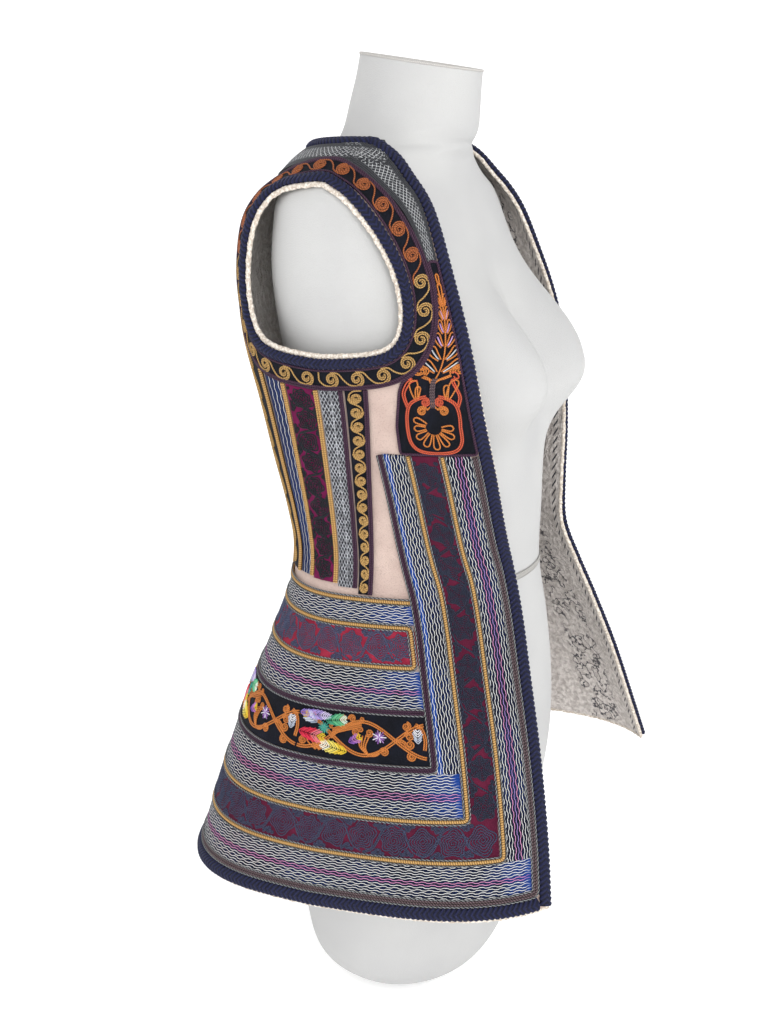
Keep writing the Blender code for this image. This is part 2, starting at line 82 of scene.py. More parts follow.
FORM_ROWS = np.array([
    (0.0000, 0.072, 0.056, 0.072, -0.006, 2.0),
    (0.0050, 0.092, 0.070, 0.083, -0.006, 2.0),
    (0.0180, 0.115, 0.084, 0.093, -0.005, 2.0),
    (0.0450, 0.140, 0.098, 0.101, -0.004, 2.0),
    (0.0900, 0.154, 0.110, 0.107, -0.004, 2.0),
    (0.1400, 0.161, 0.120, 0.114, -0.004, 2.1),
    (0.2000, 0.165, 0.130, 0.120, -0.004, 2.1),
    (0.2600, 0.165, 0.137, 0.120, -0.004, 2.1),
    (0.3200, 0.155, 0.137, 0.111, -0.004, 2.1),
    (0.3800, 0.137, 0.132, 0.098, -0.004, 2.1),
    (0.4460, 0.118, 0.123, 0.084, -0.004, 2.1),
    (0.5060, 0.124, 0.125, 0.087, -0.002, 2.1),
    (0.5660, 0.135, 0.124, 0.093, 0.000, 2.2),
    (0.6260, 0.144, 0.118, 0.100, 0.004, 2.3),
    (0.6860, 0.151, 0.104, 0.102, 0.008, 2.6),
    (0.7360, 0.157, 0.089, 0.098, 0.012, 2.8),
    (0.7760, 0.159, 0.077, 0.090, 0.015, 2.8),
    (0.7980, 0.157, 0.070, 0.084, 0.017, 2.7),
    (0.8140, 0.148, 0.066, 0.078, 0.018, 2.1),
    (0.8280, 0.131, 0.064, 0.072, 0.017, 1.8),
    (0.8380, 0.111, 0.065, 0.067, 0.014, 1.6),
    (0.8435, 0.097, 0.065, 0.064, 0.012, 1.5),
    (0.8500, 0.081, 0.066, 0.062, 0.009, 1.6),
    (0.8600, 0.068, 0.065, 0.059, 0.006, 1.9),
    (0.8780, 0.060, 0.062, 0.058, 0.002, 2.0),
    (0.8980, 0.057, 0.059, 0.056, -0.002, 2.0),
    (0.9150, 0.056, 0.057, 0.055, -0.005, 2.0),
])
print("rings of cloth:", len(VEST_ROWS), "rings of the form:", len(FORM_ROWS))

# %% Cloth and trim sizes
SHIFT_Y = 0.0152
WALL = 0.003
BRAID_WIDTH = 0.0105
ARM_BRAID, ARM_BAND = 0.0088, 0.0155
PIECE_GAP = 0.0007
HEM_CORD = 0.0065
SKIRT_BANDS = (
    ("skirt_band_wave_hem", 0.0290, 0.0050),
    ("skirt_band_rosette_low", 0.0300, 0.0050),
    ("skirt_band_wave_low", 0.0380, 0.0060),
    ("skirt_band_flower", 0.0430, 0.0060),
    ("skirt_band_wave_high", 0.0330, 0.0050),
    ("skirt_band_rosette_high", 0.0310, 0.0050),
    ("skirt_band_wave_waist", 0.0180, 0.0050),
)
BORDER_STRIPS = (
    ("border_wave_inner", 0.0215, 0.0050),
    ("border_rosette", 0.0235, 0.0050),
    ("border_wave_outer", 0.0195, 0.0045),
)
BORDER_START = BRAID_WIDTH + 0.0065
CHEST_LOW, CHEST_TOP = 7.42, 11.30

# %% [markdown]
# ## Points on the cloth
# A place on the coat is an angle round the body and a row number. Angle 0 is the
# middle of the back, 90 degrees the right side seam, 180 the middle of the front.
# These helpers turn such a place into a point, and move it out along the cloth's
# own normal, so that everything sewn on follows the cloth.

# %% Rings between the rows
def row_values(table, t):
    t = np.asarray(t, float)
    slopes = np.gradient(table, axis=0)
    low = np.clip(np.floor(t).astype(int), 0, len(table) - 2)
    u = (t - low)[..., None]
    start = (1 + 2 * u) * (1 - u) ** 2 * table[low] + u * (1 - u) ** 2 * slopes[low]
    end = u * u * (3 - 2 * u) * table[low + 1] + u * u * (u - 1) * slopes[low + 1]
    return np.moveaxis(start + end, -1, 0)


def ring_point(angle, half_width, front, back, centre, square):
    side = np.abs(np.sin(angle)) / half_width
    ahead = np.abs(np.cos(angle)) / np.where(np.cos(angle) < 0, front, back)
    radius = (side**square + ahead**square) ** (-1 / square)
    return -radius * np.sin(angle), centre + radius * np.cos(angle)


def vest_ring(t):
    height, half_width, back, centre, square, edge_x, edge_y = row_values(VEST_ROWS, t)
    share = np.clip(1 - (edge_x / half_width) ** square, 1e-3, 1)
    front = (centre - edge_y) / share ** (1 / square)
    edge = np.pi - np.arctan2(edge_x, centre - edge_y)
    return height, half_width, front, back, centre, square, edge


# %% The inner face of the cloth, and its normal
def inner_face(angle, t):
    height, half_width, front, back, centre, square, edge = vest_ring(t)
    x, y = ring_point(angle, half_width, front, back, centre, square)
    turn = np.abs(angle)
    ahead = np.clip((turn - np.pi / 2) / (edge - np.pi / 2), 0, 1)
    behind = np.clip((np.pi / 2 - turn) / (np.pi / 4), 0, 1)
    low, high = np.clip(1 - t / 5, 0, 1), np.clip((t - 13) / 4, 0, 1)
    height = height + 0.016 * ahead * low - 0.008 * behind**2 * low**2
    height = height - 0.006 * np.clip(np.cos(angle), 0, 1) ** 2 * high**2
    return np.stack([x, y + SHIFT_Y, height + 0 * x], -1)


def slopes_at(angle, t):
    step = 1e-3
    round_body = (inner_face(angle + step, t) - inner_face(angle - step, t)) / (2 * step)
    above, below = np.minimum(t + step, TOP), np.maximum(t - step, 0)
    up_body = (inner_face(angle, above) - inner_face(angle, below)) / (above - below)[..., None]
    normal = np.cross(round_body, up_body)
    return round_body, up_body, normal / np.linalg.norm(normal, axis=-1, keepdims=True)


def on_vest(angle, t, out=0.0):
    """Points on the vest, moved out from its inner face, and the normals there."""
    angle, t = np.broadcast_arrays(np.asarray(angle, float), np.asarray(t, float))
    normal = slopes_at(angle, t)[2]
    return inner_face(angle, t) + np.asarray(out)[..., None] * normal, normal


# %% Lines moved sideways over the cloth
def step_sideways(angle, t, distance, closed=False, steps=6):
    """Moves a line over the cloth, to the right of its travel."""
    for _ in range(steps):
        points = inner_face(angle, t)
        if closed:
            along = np.roll(points, -1, axis=0) - np.roll(points, 1, axis=0)
        else:
            along = np.gradient(points, axis=0)
        along /= np.linalg.norm(along, axis=-1, keepdims=True)
        round_body, up_body, normal = slopes_at(angle, t)
        aside = np.cross(along, normal) * np.asarray(distance)[..., None] / steps
        a, b, c = (round_body**2).sum(-1), (round_body * up_body).sum(-1), (up_body**2).sum(-1)
        p, q = (round_body * aside).sum(-1), (up_body * aside).sum(-1)
        angle = angle + (c * p - b * q) / (a * c - b * b)
        t = np.clip(t + (a * q - b * p) / (a * c - b * b), 0, TOP)
    return angle, t


def front_inset(distance, t):
    """Angle, at rows t, of a line this far inside the right front edge."""
    rows = np.linspace(0, 12.5, 61)
    angle, moved = step_sideways(vest_ring(rows)[-1], rows, -distance)
    return np.interp(t, moved, angle)


def rows_at_heights(distances):
    """Rows at these distances above the hem, measured along the cloth at the side."""
    rows = np.linspace(0, 8, 401)
    line = inner_face(np.full_like(rows, np.radians(95)), rows)
    length = np.concatenate([[0], np.cumsum(np.linalg.norm(np.diff(line, axis=0), axis=1))])
    return np.interp(distances, length, rows)


# %% The armhole and the front opening
def rows_for_height(height):
    rows = np.linspace(0, TOP, 1701)
    return np.interp(height, row_values(VEST_ROWS, rows)[0], rows)


def angle_at_depth(t, y):
    low, high = np.full_like(t, 0.2), np.full_like(t, 2.9)
    for _ in range(40):
        middle = (low + high) / 2
        behind = inner_face(middle, t)[..., 1] - SHIFT_Y > y
        low, high = np.where(behind, middle, low), np.where(behind, high, middle)
    return (low + high) / 2


def armhole_side(turn, towards):
    """Half of the armhole's edge: turn runs from -90 to 90 degrees, bottom to top."""
    rise = np.sin(turn)
    t = rows_for_height(0.7390 + 0.0735 * rise)
    reach = 0.0725 * np.cos(turn).clip(0, 1) ** (0.6 + 0.12 * rise) * (1 - 0.25 * rise)
    angle = angle_at_depth(t, 0.028 + 0.010 * rise + towards * reach)
    blend = np.abs(rise) ** 24
    return angle * (1 - blend) + np.pi / 2 * blend, t


def armhole_line(count):
    turn = np.radians(np.linspace(-90, 90, count + 1))
    up, down = armhole_side(turn, 1), armhole_side(turn[::-1], -1)
    return np.concatenate([up[0][:-1], down[0][:-1]]), np.concatenate([up[1][:-1], down[1][:-1]])


def opening_line(fine=1):
    """Up the right front edge, round the back of the neck and down the left edge."""
    rows = np.concatenate([np.linspace(0, 8, 60 * fine, endpoint=False), np.linspace(8, TOP, 60 * fine)])
    edge = vest_ring(rows)[-1]
    neck = np.radians(np.linspace(90, -90, 60 * fine + 1))[1:-1]
    angle = np.concatenate([edge, neck, -edge[::-1]])
    return angle, np.concatenate([rows, np.full(len(neck), float(TOP)), rows[::-1]])


angle, t = armhole_line(200)
edge = inner_face(angle, t)
print("armhole edge", round(float(np.linalg.norm(np.diff(edge, axis=0), axis=1).sum()), 3), "m")

# %% [markdown]
# ## Strips, and where a stitch lies on them
# Trimmings are sewn on in strips. A strip here is a few lines that lie side by side
# on the cloth. Any spot on it can then be given as a length along the strip and a
# distance across it, which is how an embroiderer measures, and a pattern that is
# drawn flat follows the coat's curves with little stretching.

# %% A strip's map
STRIP_TOP = 7.385


def strip_map(lines):
    angle = np.stack([line[0] for line in lines], axis=1)
    t = np.stack([line[1] for line in lines], axis=1)
    points = on_vest(angle, t, WALL)[0]
    run = np.linalg.norm(np.diff(points, axis=0), axis=-1).mean(axis=1)
    rise = np.linalg.norm(np.diff(points, axis=1), axis=-1).mean(axis=0)
    along = np.concatenate([[0], np.cumsum(run)])
    return {"angle": angle, "t": t, "along": along, "across": np.concatenate([[0], np.cumsum(rise)])}


def blend(grid, row, column):
    a = np.clip(row.astype(int), 0, grid.shape[0] - 2)
    b = np.clip(column.astype(int), 0, grid.shape[1] - 2)
    u, v = row - a, column - b
    low = grid[a, b] * (1 - u) + grid[a + 1, b] * u
    high = grid[a, b + 1] * (1 - u) + grid[a + 1, b + 1] * u
    return low * (1 - v) + high * v


def raised(strip, along, across, out, side=1):
    """Points and normals above a strip; side -1 mirrors them to the wearer's left."""
    along, across = np.broadcast_arrays(np.asarray(along, float), np.asarray(across, float))
    row = np.interp(along, strip["along"], np.arange(len(strip["along"])))
    column = np.interp(across, strip["across"], np.arange(len(strip["across"])))
    points, normal = on_vest(blend(strip["angle"], row, column), blend(strip["t"], row, column), out)
    flip = np.array([side, 1.0, 1.0])
    return points * flip, normal * flip


def band_strip(low, high, inset):
    """A band round the skirt, from the right front end to the left one."""
    share = np.linspace(1, -1, 481)
    lines = []
    for t in rows_at_heights(np.linspace(low, high, 5)):
        lines.append((share * front_inset(inset, t), np.full_like(share, t)))
    return strip_map(lines)


def front_strip(near, far, low_row, top_row=STRIP_TOP):
    """A strip up the right front, between two distances from the edge."""
    t = np.linspace(low_row, top_row, 241)
    return strip_map([(front_inset(distance, t), t) for distance in np.linspace(near, far, 5)])


# %% Where each strip runs
def stacked(start, widths):
    edges = {}
    for name, width, cord in widths:
        edges[name] = (start, start + width, start + width + cord)
        start += width + cord + PIECE_GAP
    return edges


BAND_EDGES = stacked(BRAID_WIDTH + HEM_CORD, SKIRT_BANDS)
BORDER_EDGES = stacked(BORDER_START, BORDER_STRIPS)
border_past = [edges[2] for edges in BORDER_EDGES.values()]
BAND_INSETS = [BORDER_START - 0.001, border_past[0], border_past[1]] + [border_past[2]] * 4
BANDS = {}
for (name, (near, far, past)), inset in zip(BAND_EDGES.items(), BAND_INSETS):
    BANDS[name] = band_strip(near, far, inset + 0.0012)
BORDERS = {}
for (name, (near, far, past)), low in zip(BORDER_EDGES.items(), list(BAND_EDGES.values())):
    BORDERS[name] = front_strip(near, far, float(rows_at_heights(low[1])))
for name, strip in (BANDS | BORDERS).items():
    print(name, "runs", round(strip["along"][-1], 3), "m and is", round(strip["across"][-1], 4), "m wide")

# %% Strips of the bodice
UNDERARM_LOW = 4.62
TURN_GAP = 0.0025
PAST_ARM_BAND = ARM_BRAID + PIECE_GAP + ARM_BAND + TURN_GAP
ROUNDING = 15


def even_ring(angle, t, count):
    """A closed line with its points evenly spaced and its two sharp ends rounded."""
    points = inner_face(np.append(angle, angle[0]), np.append(t, t[0]))
    run = np.concatenate([[0], np.cumsum(np.linalg.norm(np.diff(points, axis=0), axis=1))])
    places = np.linspace(0, run[-1], count, endpoint=False)
    line = [np.interp(places, run, np.append(part, part[0])) for part in (angle, t)]
    kernel = np.hanning(2 * ROUNDING + 3)[1:-1] / np.hanning(2 * ROUNDING + 3).sum()
    rounded = []
    for part in line:
        lapped = np.concatenate([part[-ROUNDING:], part, part[:ROUNDING]])
        rounded.append(np.convolve(lapped, kernel, "valid"))
    return rounded


arm_angle, arm_row = even_ring(*armhole_line(800), 480)


def armhole_strip(near, far):
    """A closed strip round the right armhole, starting at its lowest place."""
    lines = []
    for width in np.linspace(near, far, 4):
        angle, t = step_sideways(arm_angle, arm_row, -width, closed=True)
        lines.append((np.append(angle, angle[0]), np.append(t, t[0])))
    return strip_map(lines)


past_angle, past_row = step_sideways(arm_angle, arm_row, -PAST_ARM_BAND, closed=True)
under = np.argsort(np.where(past_row < 9.9, past_angle, 9.0))[: int((past_row < 9.9).sum())]


def underarm_strip(back, front, foot=UNDERARM_LOW):
    """A strip from the waist to the armhole band; back and front are its angles low and high."""
    share = np.linspace(0, 1, 121)
    lines = []
    for part in np.linspace(0, 1, 5):
        low, high = np.radians([b + (f - b) * part for b, f in zip(back, front)])
        ceiling = np.interp(high, past_angle[under], past_row[under])
        lines.append((low + (high - low) * share, foot + (ceiling - foot) * share))
    return strip_map(lines)


ARM_LOW = ARM_BRAID + PIECE_GAP
ARM_STRIP = armhole_strip(ARM_LOW, ARM_LOW + ARM_BAND)
in_front = past_angle > np.pi / 2 + 0.02
beside_order = np.argsort(np.where(in_front, past_row, 99.0))[: int(in_front.sum())]
chest_distance = np.array([
    (7.42, 0.0760), (7.90, 0.0735), (8.50, 0.0650), (8.80, 0.0570), (9.20, 0.0460),
    (9.70, 0.0375), (10.30, 0.0325), (10.80, 0.0305), (11.30, 0.0295),
])


def chest_strip():
    """The chest panel, from its outer side in to the front braid."""
    t = np.linspace(CHEST_LOW, CHEST_TOP, 161)
    distances = np.interp(t, *chest_distance.T)
    drawn = np.array([front_inset(distance, row) for distance, row in zip(distances, t)])
    beside = np.interp(t, past_row[beside_order], past_angle[beside_order], left=0.0)
    outer, inner = np.maximum(drawn, beside), front_inset(BRAID_WIDTH + PIECE_GAP, t)
    return strip_map([(outer + (inner - outer) * part, t) for part in np.linspace(0, 1, 9)])


CHEST_STRIP = chest_strip()
print("chest panel", CHEST_STRIP["along"][-1].round(3), "m tall")
print("armhole band", ARM_STRIP["along"][-1].round(3), "m round")

# %% [markdown]
# ## Sheets of cloth
# Each piece of cloth is cut flat and sewn on, so each is one sheet with a thickness
# of its own. A flat grid is added, its points are laid on the coat, and Solidify
# gives it its thickness outwards. Its UV map is in metres along and across, so a
# finish can draw threads at their real size.

# %% Lay a sheet on the coat
CLOTHS = {}
NEARLY_FULL = 0.97
STRIP_THICKNESS, STRIP_LIFT = 0.0022, 0.0002
SMOOTH_BELOW = np.radians(50)


def new_grid(name, columns, rows):
    bpy.ops.object.select_all(action="DESELECT")
    bpy.ops.mesh.primitive_grid_add(x_subdivisions=columns, y_subdivisions=rows, size=1)
    piece = bpy.context.object
    piece.name = piece.data.name = name
    place = np.empty(3 * len(piece.data.vertices), np.float32)
    piece.data.vertices.foreach_get("co", place)
    place = place.reshape(-1, 3) + 0.5
    return piece, place[:, 0].astype(float), place[:, 1].astype(float)


def write_uv(mesh, along, across):
    corner = np.empty(len(mesh.loops), np.int32)
    mesh.loops.foreach_get("vertex_index", corner)
    layer = mesh.uv_layers[0] if mesh.uv_layers else mesh.uv_layers.new(name="UVMap")
    places = np.stack([along[corner], across[corner]], -1)
    layer.uv.foreach_set("vector", places.astype(np.float32).ravel())


def in_edit_mode(piece, *steps):
    bpy.context.view_layer.objects.active = piece
    bpy.ops.object.mode_set(mode="EDIT")
    bpy.ops.mesh.select_all(action="SELECT")
    for step, options in steps:
        step(**options)
    bpy.ops.object.mode_set(mode="OBJECT")


def shape_grid(piece, points, normals):
    """Moves the grid's points to the coat and makes its faces look outwards."""
    mesh = piece.data
    mesh.vertices.foreach_set("co", points.astype(np.float32).ravel())
    mesh.update()
    facing = np.empty(3 * len(mesh.vertices), np.float32)
    mesh.vertices.foreach_get("normal", facing)
    if (facing.reshape(-1, 3) * normals).sum() < 0:
        in_edit_mode(piece, (bpy.ops.mesh.flip_normals, {}))


def thicken(piece, thickness):
    wall = piece.modifiers.new("cloth thickness", "SOLIDIFY")
    wall.thickness, wall.offset = thickness, 1
    bpy.context.view_layer.objects.active = piece
    bpy.ops.object.modifier_apply(modifier=wall.name)
    bpy.ops.object.select_all(action="DESELECT")
    piece.select_set(True)
    bpy.ops.object.shade_smooth_by_angle(angle=SMOOTH_BELOW)


def declare_sheet(piece, length, width, area):
    """Keeps the sheet's flat width, length and area in CLOTHS; the whole cut, where the sheet fills less than its
    box, is worked out but not kept.
    """
    width = max(width, area / length)
    share = area / (width * length)
    cut = float(area) if share < NEARLY_FULL else None
    CLOTHS[piece.name] = (float(width), float(length), float(area))


def mesh_area(mesh):
    area = np.empty(len(mesh.polygons), np.float32)
    mesh.polygons.foreach_get("area", area)
    return float(area.sum())


def lay_strip(name, strip, finish, slot, nodes, side=1, step=0.0035, closed=False):
    """One strip of cloth; step is the size of a grid square in metres."""
    length, width = strip["along"][-1], strip["across"][-1]
    columns, rows = max(4, round(length / step)), max(3, round(width / step))
    piece, u, v = new_grid(name, columns, rows)
    along, across = u * length, v * width
    points, normals = raised(strip, along, across, WALL + STRIP_LIFT, side)
    shape_grid(piece, points, normals)
    write_uv(piece.data, along, across)
    if closed:
        in_edit_mode(piece, (bpy.ops.mesh.remove_doubles, {"threshold": 1e-5}))
    area = mesh_area(piece.data)
    thicken(piece, STRIP_THICKNESS)
    piece.data.materials.append(finish)
    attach(piece, "root")
    if nodes:
        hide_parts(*nodes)
    declare_sheet(piece, length, width, area)
    return piece


# %% [markdown]
# ## Cords and plaits
# The coat's cords are couched: laid on the cloth and held by small stitches. A cord
# is a tube swept along its path, flattened a little where it lies on the cloth. Its
# UV map holds the length along it and the share of the way round, so the finish can
# twist two yarns round each other at the right pitch.

# %% Sweep a cord along a path
def unit(vectors):
    return vectors / np.maximum(np.linalg.norm(vectors, axis=-1, keepdims=True), 1e-12)


def even_path(points, normals, step, closed=False):
    """The same path with its points evenly spaced."""
    if closed:
        points = np.concatenate([points, points[:1]])
        normals = np.concatenate([normals, normals[:1]])
    run = np.concatenate([[0], np.cumsum(np.linalg.norm(np.diff(points, axis=0), axis=1))])
    count = max(3, round(run[-1] / step))
    places = np.linspace(0, run[-1], count, endpoint=not closed)
    points = np.stack([np.interp(places, run, points[:, i]) for i in range(3)], -1)
    normals = np.stack([np.interp(places, run, normals[:, i]) for i in range(3)], -1)
    return points, unit(normals), places, run[-1]


def tube(points, normals, half_width, half_height, sides, step, closed=False, relief=None):
    """Rings round a path, as points, and the length along the path at each ring."""
    points, normals, places, length = even_path(points, normals, step, closed)
    if closed:
        along = np.roll(points, -1, axis=0) - np.roll(points, 1, axis=0)
    else:
        along = np.gradient(points, axis=0)
    along = unit(along)
    normals = unit(normals - (normals * along).sum(-1, keepdims=True) * along)
    aside = np.cross(along, normals)
    turn = 2 * np.pi * np.arange(sides) / sides
    wide, high = half_width * np.cos(turn), half_height * np.sin(turn)
    if relief is not None:
        grow = 1 + relief(places[:, None], turn[None, :])
        wide, high = wide * grow, high * grow
    else:
        wide, high = wide + 0 * places[:, None], high + 0 * places[:, None]
    rings = points[:, None] + wide[..., None] * aside[:, None] + high[..., None] * normals[:, None]
    return rings, places, length


def cord_mesh(name, tubes, finish, nodes=(), colours=None):
    """One piece from many cords; tubes holds rings, places, length and closed for each."""
    points, faces, uvs, shades, start = [], [], [], [], 0
    for index, (rings, places, length, closed) in enumerate(tubes):
        count, sides = rings.shape[:2]
        points.append(rings.reshape(-1, 3))
        row = np.arange(count if closed else count - 1)
        a, k = (grid.ravel() for grid in np.meshgrid(row, np.arange(sides), indexing="ij"))
        b, l = (a + 1) % count, (k + 1) % sides
        quads = np.stack([a * sides + k, b * sides + k, b * sides + l, a * sides + l], -1)
        faces.append(start + quads)
        ends = np.append(places, length)
        u = np.stack([ends[a], ends[a + 1], ends[a + 1], ends[a]], -1)
        v = np.stack([k, k, k + 1, k + 1], -1) / sides
        uvs.append(np.stack([u, v], -1).reshape(-1, 2))
        if colours is not None:
            shades.append(np.tile(colours[index], (count * sides, 1)))
        start += count * sides
    points, faces, uvs = np.concatenate(points), np.concatenate(faces), np.concatenate(uvs)
    mesh = bpy.data.meshes.new(name)
    mesh.vertices.add(len(points))
    mesh.vertices.foreach_set("co", points.astype(np.float32).ravel())
    mesh.loops.add(faces.size)
    mesh.loops.foreach_set("vertex_index", faces.astype(np.int32).ravel())
    mesh.polygons.add(len(faces))
    mesh.polygons.foreach_set("loop_start", np.arange(0, faces.size, 4, dtype=np.int32))
    mesh.update(calc_edges=True)
    mesh.uv_layers.new(name="UVMap").uv.foreach_set("vector", uvs.astype(np.float32).ravel())
    if colours is not None:
        layer = mesh.color_attributes.new("thread_colour", "FLOAT_COLOR", "POINT")
        layer.data.foreach_set("color", np.concatenate(shades).astype(np.float32).ravel())
    piece = bpy.data.objects.new(name, mesh)
    bpy.context.scene.collection.objects.link(piece)
    close_cord_ends(piece)
    mesh.materials.append(finish)
    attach(piece, "root")
    if nodes:
        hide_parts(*nodes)
    return piece


def close_cord_ends(piece):
    """Fills the open ends of the cords, makes all faces look outwards and smooths them."""
    bpy.ops.object.select_all(action="DESELECT")
    piece.select_set(True)
    in_edit_mode(
        piece,
        (bpy.ops.mesh.fill_holes, {"sides": 0}),
        (bpy.ops.mesh.select_all, {"action": "SELECT"}),
        (bpy.ops.mesh.normals_make_consistent, {"inside": False}),
    )
    bpy.ops.object.shade_smooth()


CLOTH_TOP = 0.0024


def tubes_on(strip, curves, radius, side=1, base=0.0, step=0.0014, sides=5, flat=0.9):
    """Cords along many drawn curves, all laid on the strip in one go."""
    if not curves:
        return []
    out = WALL + CLOTH_TOP + base + radius * flat * 0.8
    x, y = (np.concatenate([curve[part] for curve in curves]) for part in (0, 1))
    points, normals = raised(strip, x, y, out, side)
    breaks = np.cumsum([len(curve[0]) for curve in curves])[:-1]
    tubes = []
    for path, facing in zip(np.split(points, breaks), np.split(normals, breaks)):
        rings, places, length = tube(path, facing, radius, radius * flat, sides, step)
        tubes.append((rings, places, length, False))
    return tubes

# %% [markdown]
# ## Finishes from numbers
# Every finish is drawn by the material's own nodes from a place on the cloth. A
# small class stands for one number of such a finish. Adding or multiplying two of
# them adds the Math node that does it, so a pattern reads like a sum.

# %% Numbers and finishes
def linear(code):
    """A colour written as on a dye card, as the shader wants it."""
    parts = np.array([int(code[i : i + 2], 16) / 255 for i in (1, 3, 5)])
    parts = np.where(parts <= 0.04045, parts / 12.92, ((parts + 0.055) / 1.055) ** 2.4)
    return (*parts.tolist(), 1.0)


class Amount:
    def __init__(self, finish, socket):
        self.finish, self.socket = finish, socket

    def math(self, operation, *others):
        node = self.finish.node("ShaderNodeMath", operation=operation)
        for socket, value in zip(node.inputs, (self, *others)):
            self.finish.join(value, socket)
        return Amount(self.finish, node.outputs[0])

    def __add__(self, other):
        return self.math("ADD", other)

    def __sub__(self, other):
        return self.math("SUBTRACT", other)

    def __mul__(self, other):
        return self.math("MULTIPLY", other)

    def __truediv__(self, other):
        return self.math("DIVIDE", other)

    def fract(self):
        return self.math("FRACT")

    def sine(self):
        return self.math("SINE")

    def size(self):
        return self.math("ABSOLUTE")

    def ramp(self, low, high):
        """0 below low, 1 above high and smooth between them."""
        node = self.finish.node("ShaderNodeMapRange", interpolation_type="SMOOTHSTEP")
        self.finish.join(self, node.inputs["Value"])
        node.inputs["From Min"].default_value = low
        node.inputs["From Max"].default_value = high
        return Amount(self.finish, node.outputs["Result"])

    def within(self, half, soft):
        """1 where the amount is nearer to 0 than half."""
        away = self.size().ramp(half - soft, half + soft)
        return away.math("SUBTRACT", 1.0) * -1.0


class Finish:
    def __init__(self, name, roughness=0.85, sheen=0.0, sheen_tint="#ffffff", specular=0.35):
        self.material = bpy.data.materials.new(name)
        self.material.use_nodes = True
        self.tree = self.material.node_tree
        self.shader = self.tree.nodes["Principled BSDF"]
        self.shader.inputs["Roughness"].default_value = roughness
        self.shader.inputs["Sheen Weight"].default_value = sheen * 0.35
        self.shader.inputs["Sheen Roughness"].default_value = 0.45
        self.shader.inputs["Sheen Tint"].default_value = linear(sheen_tint)
        self.shader.inputs["Specular IOR Level"].default_value = specular

    def node(self, kind, **settings):
        node = self.tree.nodes.new(kind)
        for key, value in settings.items():
            setattr(node, key, value)
        return node

    def join(self, value, socket):
        if isinstance(value, Amount):
            self.tree.links.new(value.socket, socket)
        elif isinstance(value, bpy.types.NodeSocket):
            self.tree.links.new(value, socket)
        else:
            socket.default_value = value

    def along_across(self):
        """Metres along and across the cloth, or along a cord and the share of the way round."""
        place = self.node("ShaderNodeUVMap", uv_map="UVMap")
        split = self.node("ShaderNodeSeparateXYZ")
        self.join(place.outputs["UV"], split.inputs[0])
        return Amount(self, split.outputs["X"]), Amount(self, split.outputs["Y"])

    def spot(self, x, y, z=0.0):
        node = self.node("ShaderNodeCombineXYZ")
        for socket, value in zip(node.inputs, (x, y, z)):
            self.join(value, socket)
        return node.outputs[0]

    def place(self):
        return self.node("ShaderNodeTexCoord").outputs["Object"]

    def noise(self, scale, where=None, detail=2.0, roughness=0.5):
        node = self.node("ShaderNodeTexNoise")
        self.join(self.place() if where is None else where, node.inputs["Vector"])
        node.inputs["Scale"].default_value = scale
        node.inputs["Detail"].default_value = detail
        node.inputs["Roughness"].default_value = roughness
        return Amount(self, node.outputs["Fac"])

    def speckle(self, x, y):
        """A fixed random number for each whole x and y."""
        node = self.node("ShaderNodeTexWhiteNoise", noise_dimensions="2D")
        self.join(self.spot(x.math("FLOOR"), y.math("FLOOR")), node.inputs["Vector"])
        return Amount(self, node.outputs["Value"])

    def mix(self, share, under, over):
        """Two colours mixed; inputs 6 and 7 of the Mix node are its colours."""
        node = self.node("ShaderNodeMix", data_type="RGBA")
        self.join(share, node.inputs["Factor"])
        for index, value in ((6, under), (7, over)):
            self.join(linear(value) if isinstance(value, str) else value, node.inputs[index])
        return node.outputs[2]

    def steps(self, share, codes):
        """One of several colours, by which equal part of 0 to 1 the share falls in."""
        node = self.node("ShaderNodeValToRGB")
        node.color_ramp.interpolation = "CONSTANT"
        stops = node.color_ramp.elements
        while len(stops) < len(codes):
            stops.new(0.5)
        for index, code in enumerate(codes):
            stops[index].position = index / len(codes)
            stops[index].color = linear(code)
        self.join(share, node.inputs[0])
        return node.outputs["Color"]

    def done(self, colour=None, height=None, depth=0.0005, roughness=None):
        if colour is not None:
            self.join(colour, self.shader.inputs["Base Color"])
        if roughness is not None:
            self.join(roughness, self.shader.inputs["Roughness"])
        if height is not None:
            bump = self.node("ShaderNodeBump")
            bump.inputs["Distance"].default_value = depth
            self.join(height, bump.inputs["Height"])
            self.join(bump.outputs["Normal"], self.shader.inputs["Normal"])
        return self.material


# %% [markdown]
# ## Wool, fleece and the form's jersey
# The coat is cream wool cloth, thick and a little hairy, with the sheep's own fleece
# kept on the inside. Both are the same pale wool, so they differ most in their
# relief: fine fibres outside, and soft lumps inside with the dark ends of the
# embroiderer's threads showing through.

# %% Plain cloths
def wool_finish():
    finish = Finish("cream wool cloth", 0.95, 0.25, "#fff4ea", 0.2)
    fibre = finish.noise(900.0, detail=3.0)
    patch = finish.noise(45.0, detail=3.0)
    colour = finish.mix(patch.ramp(0.2, 0.85), "#bba49b", "#cdb8ae")
    colour = finish.mix(fibre.ramp(0.50, 0.80) * 0.60, colour, "#94827a")
    return finish.done(colour, fibre + patch * 1.5, 0.0012)


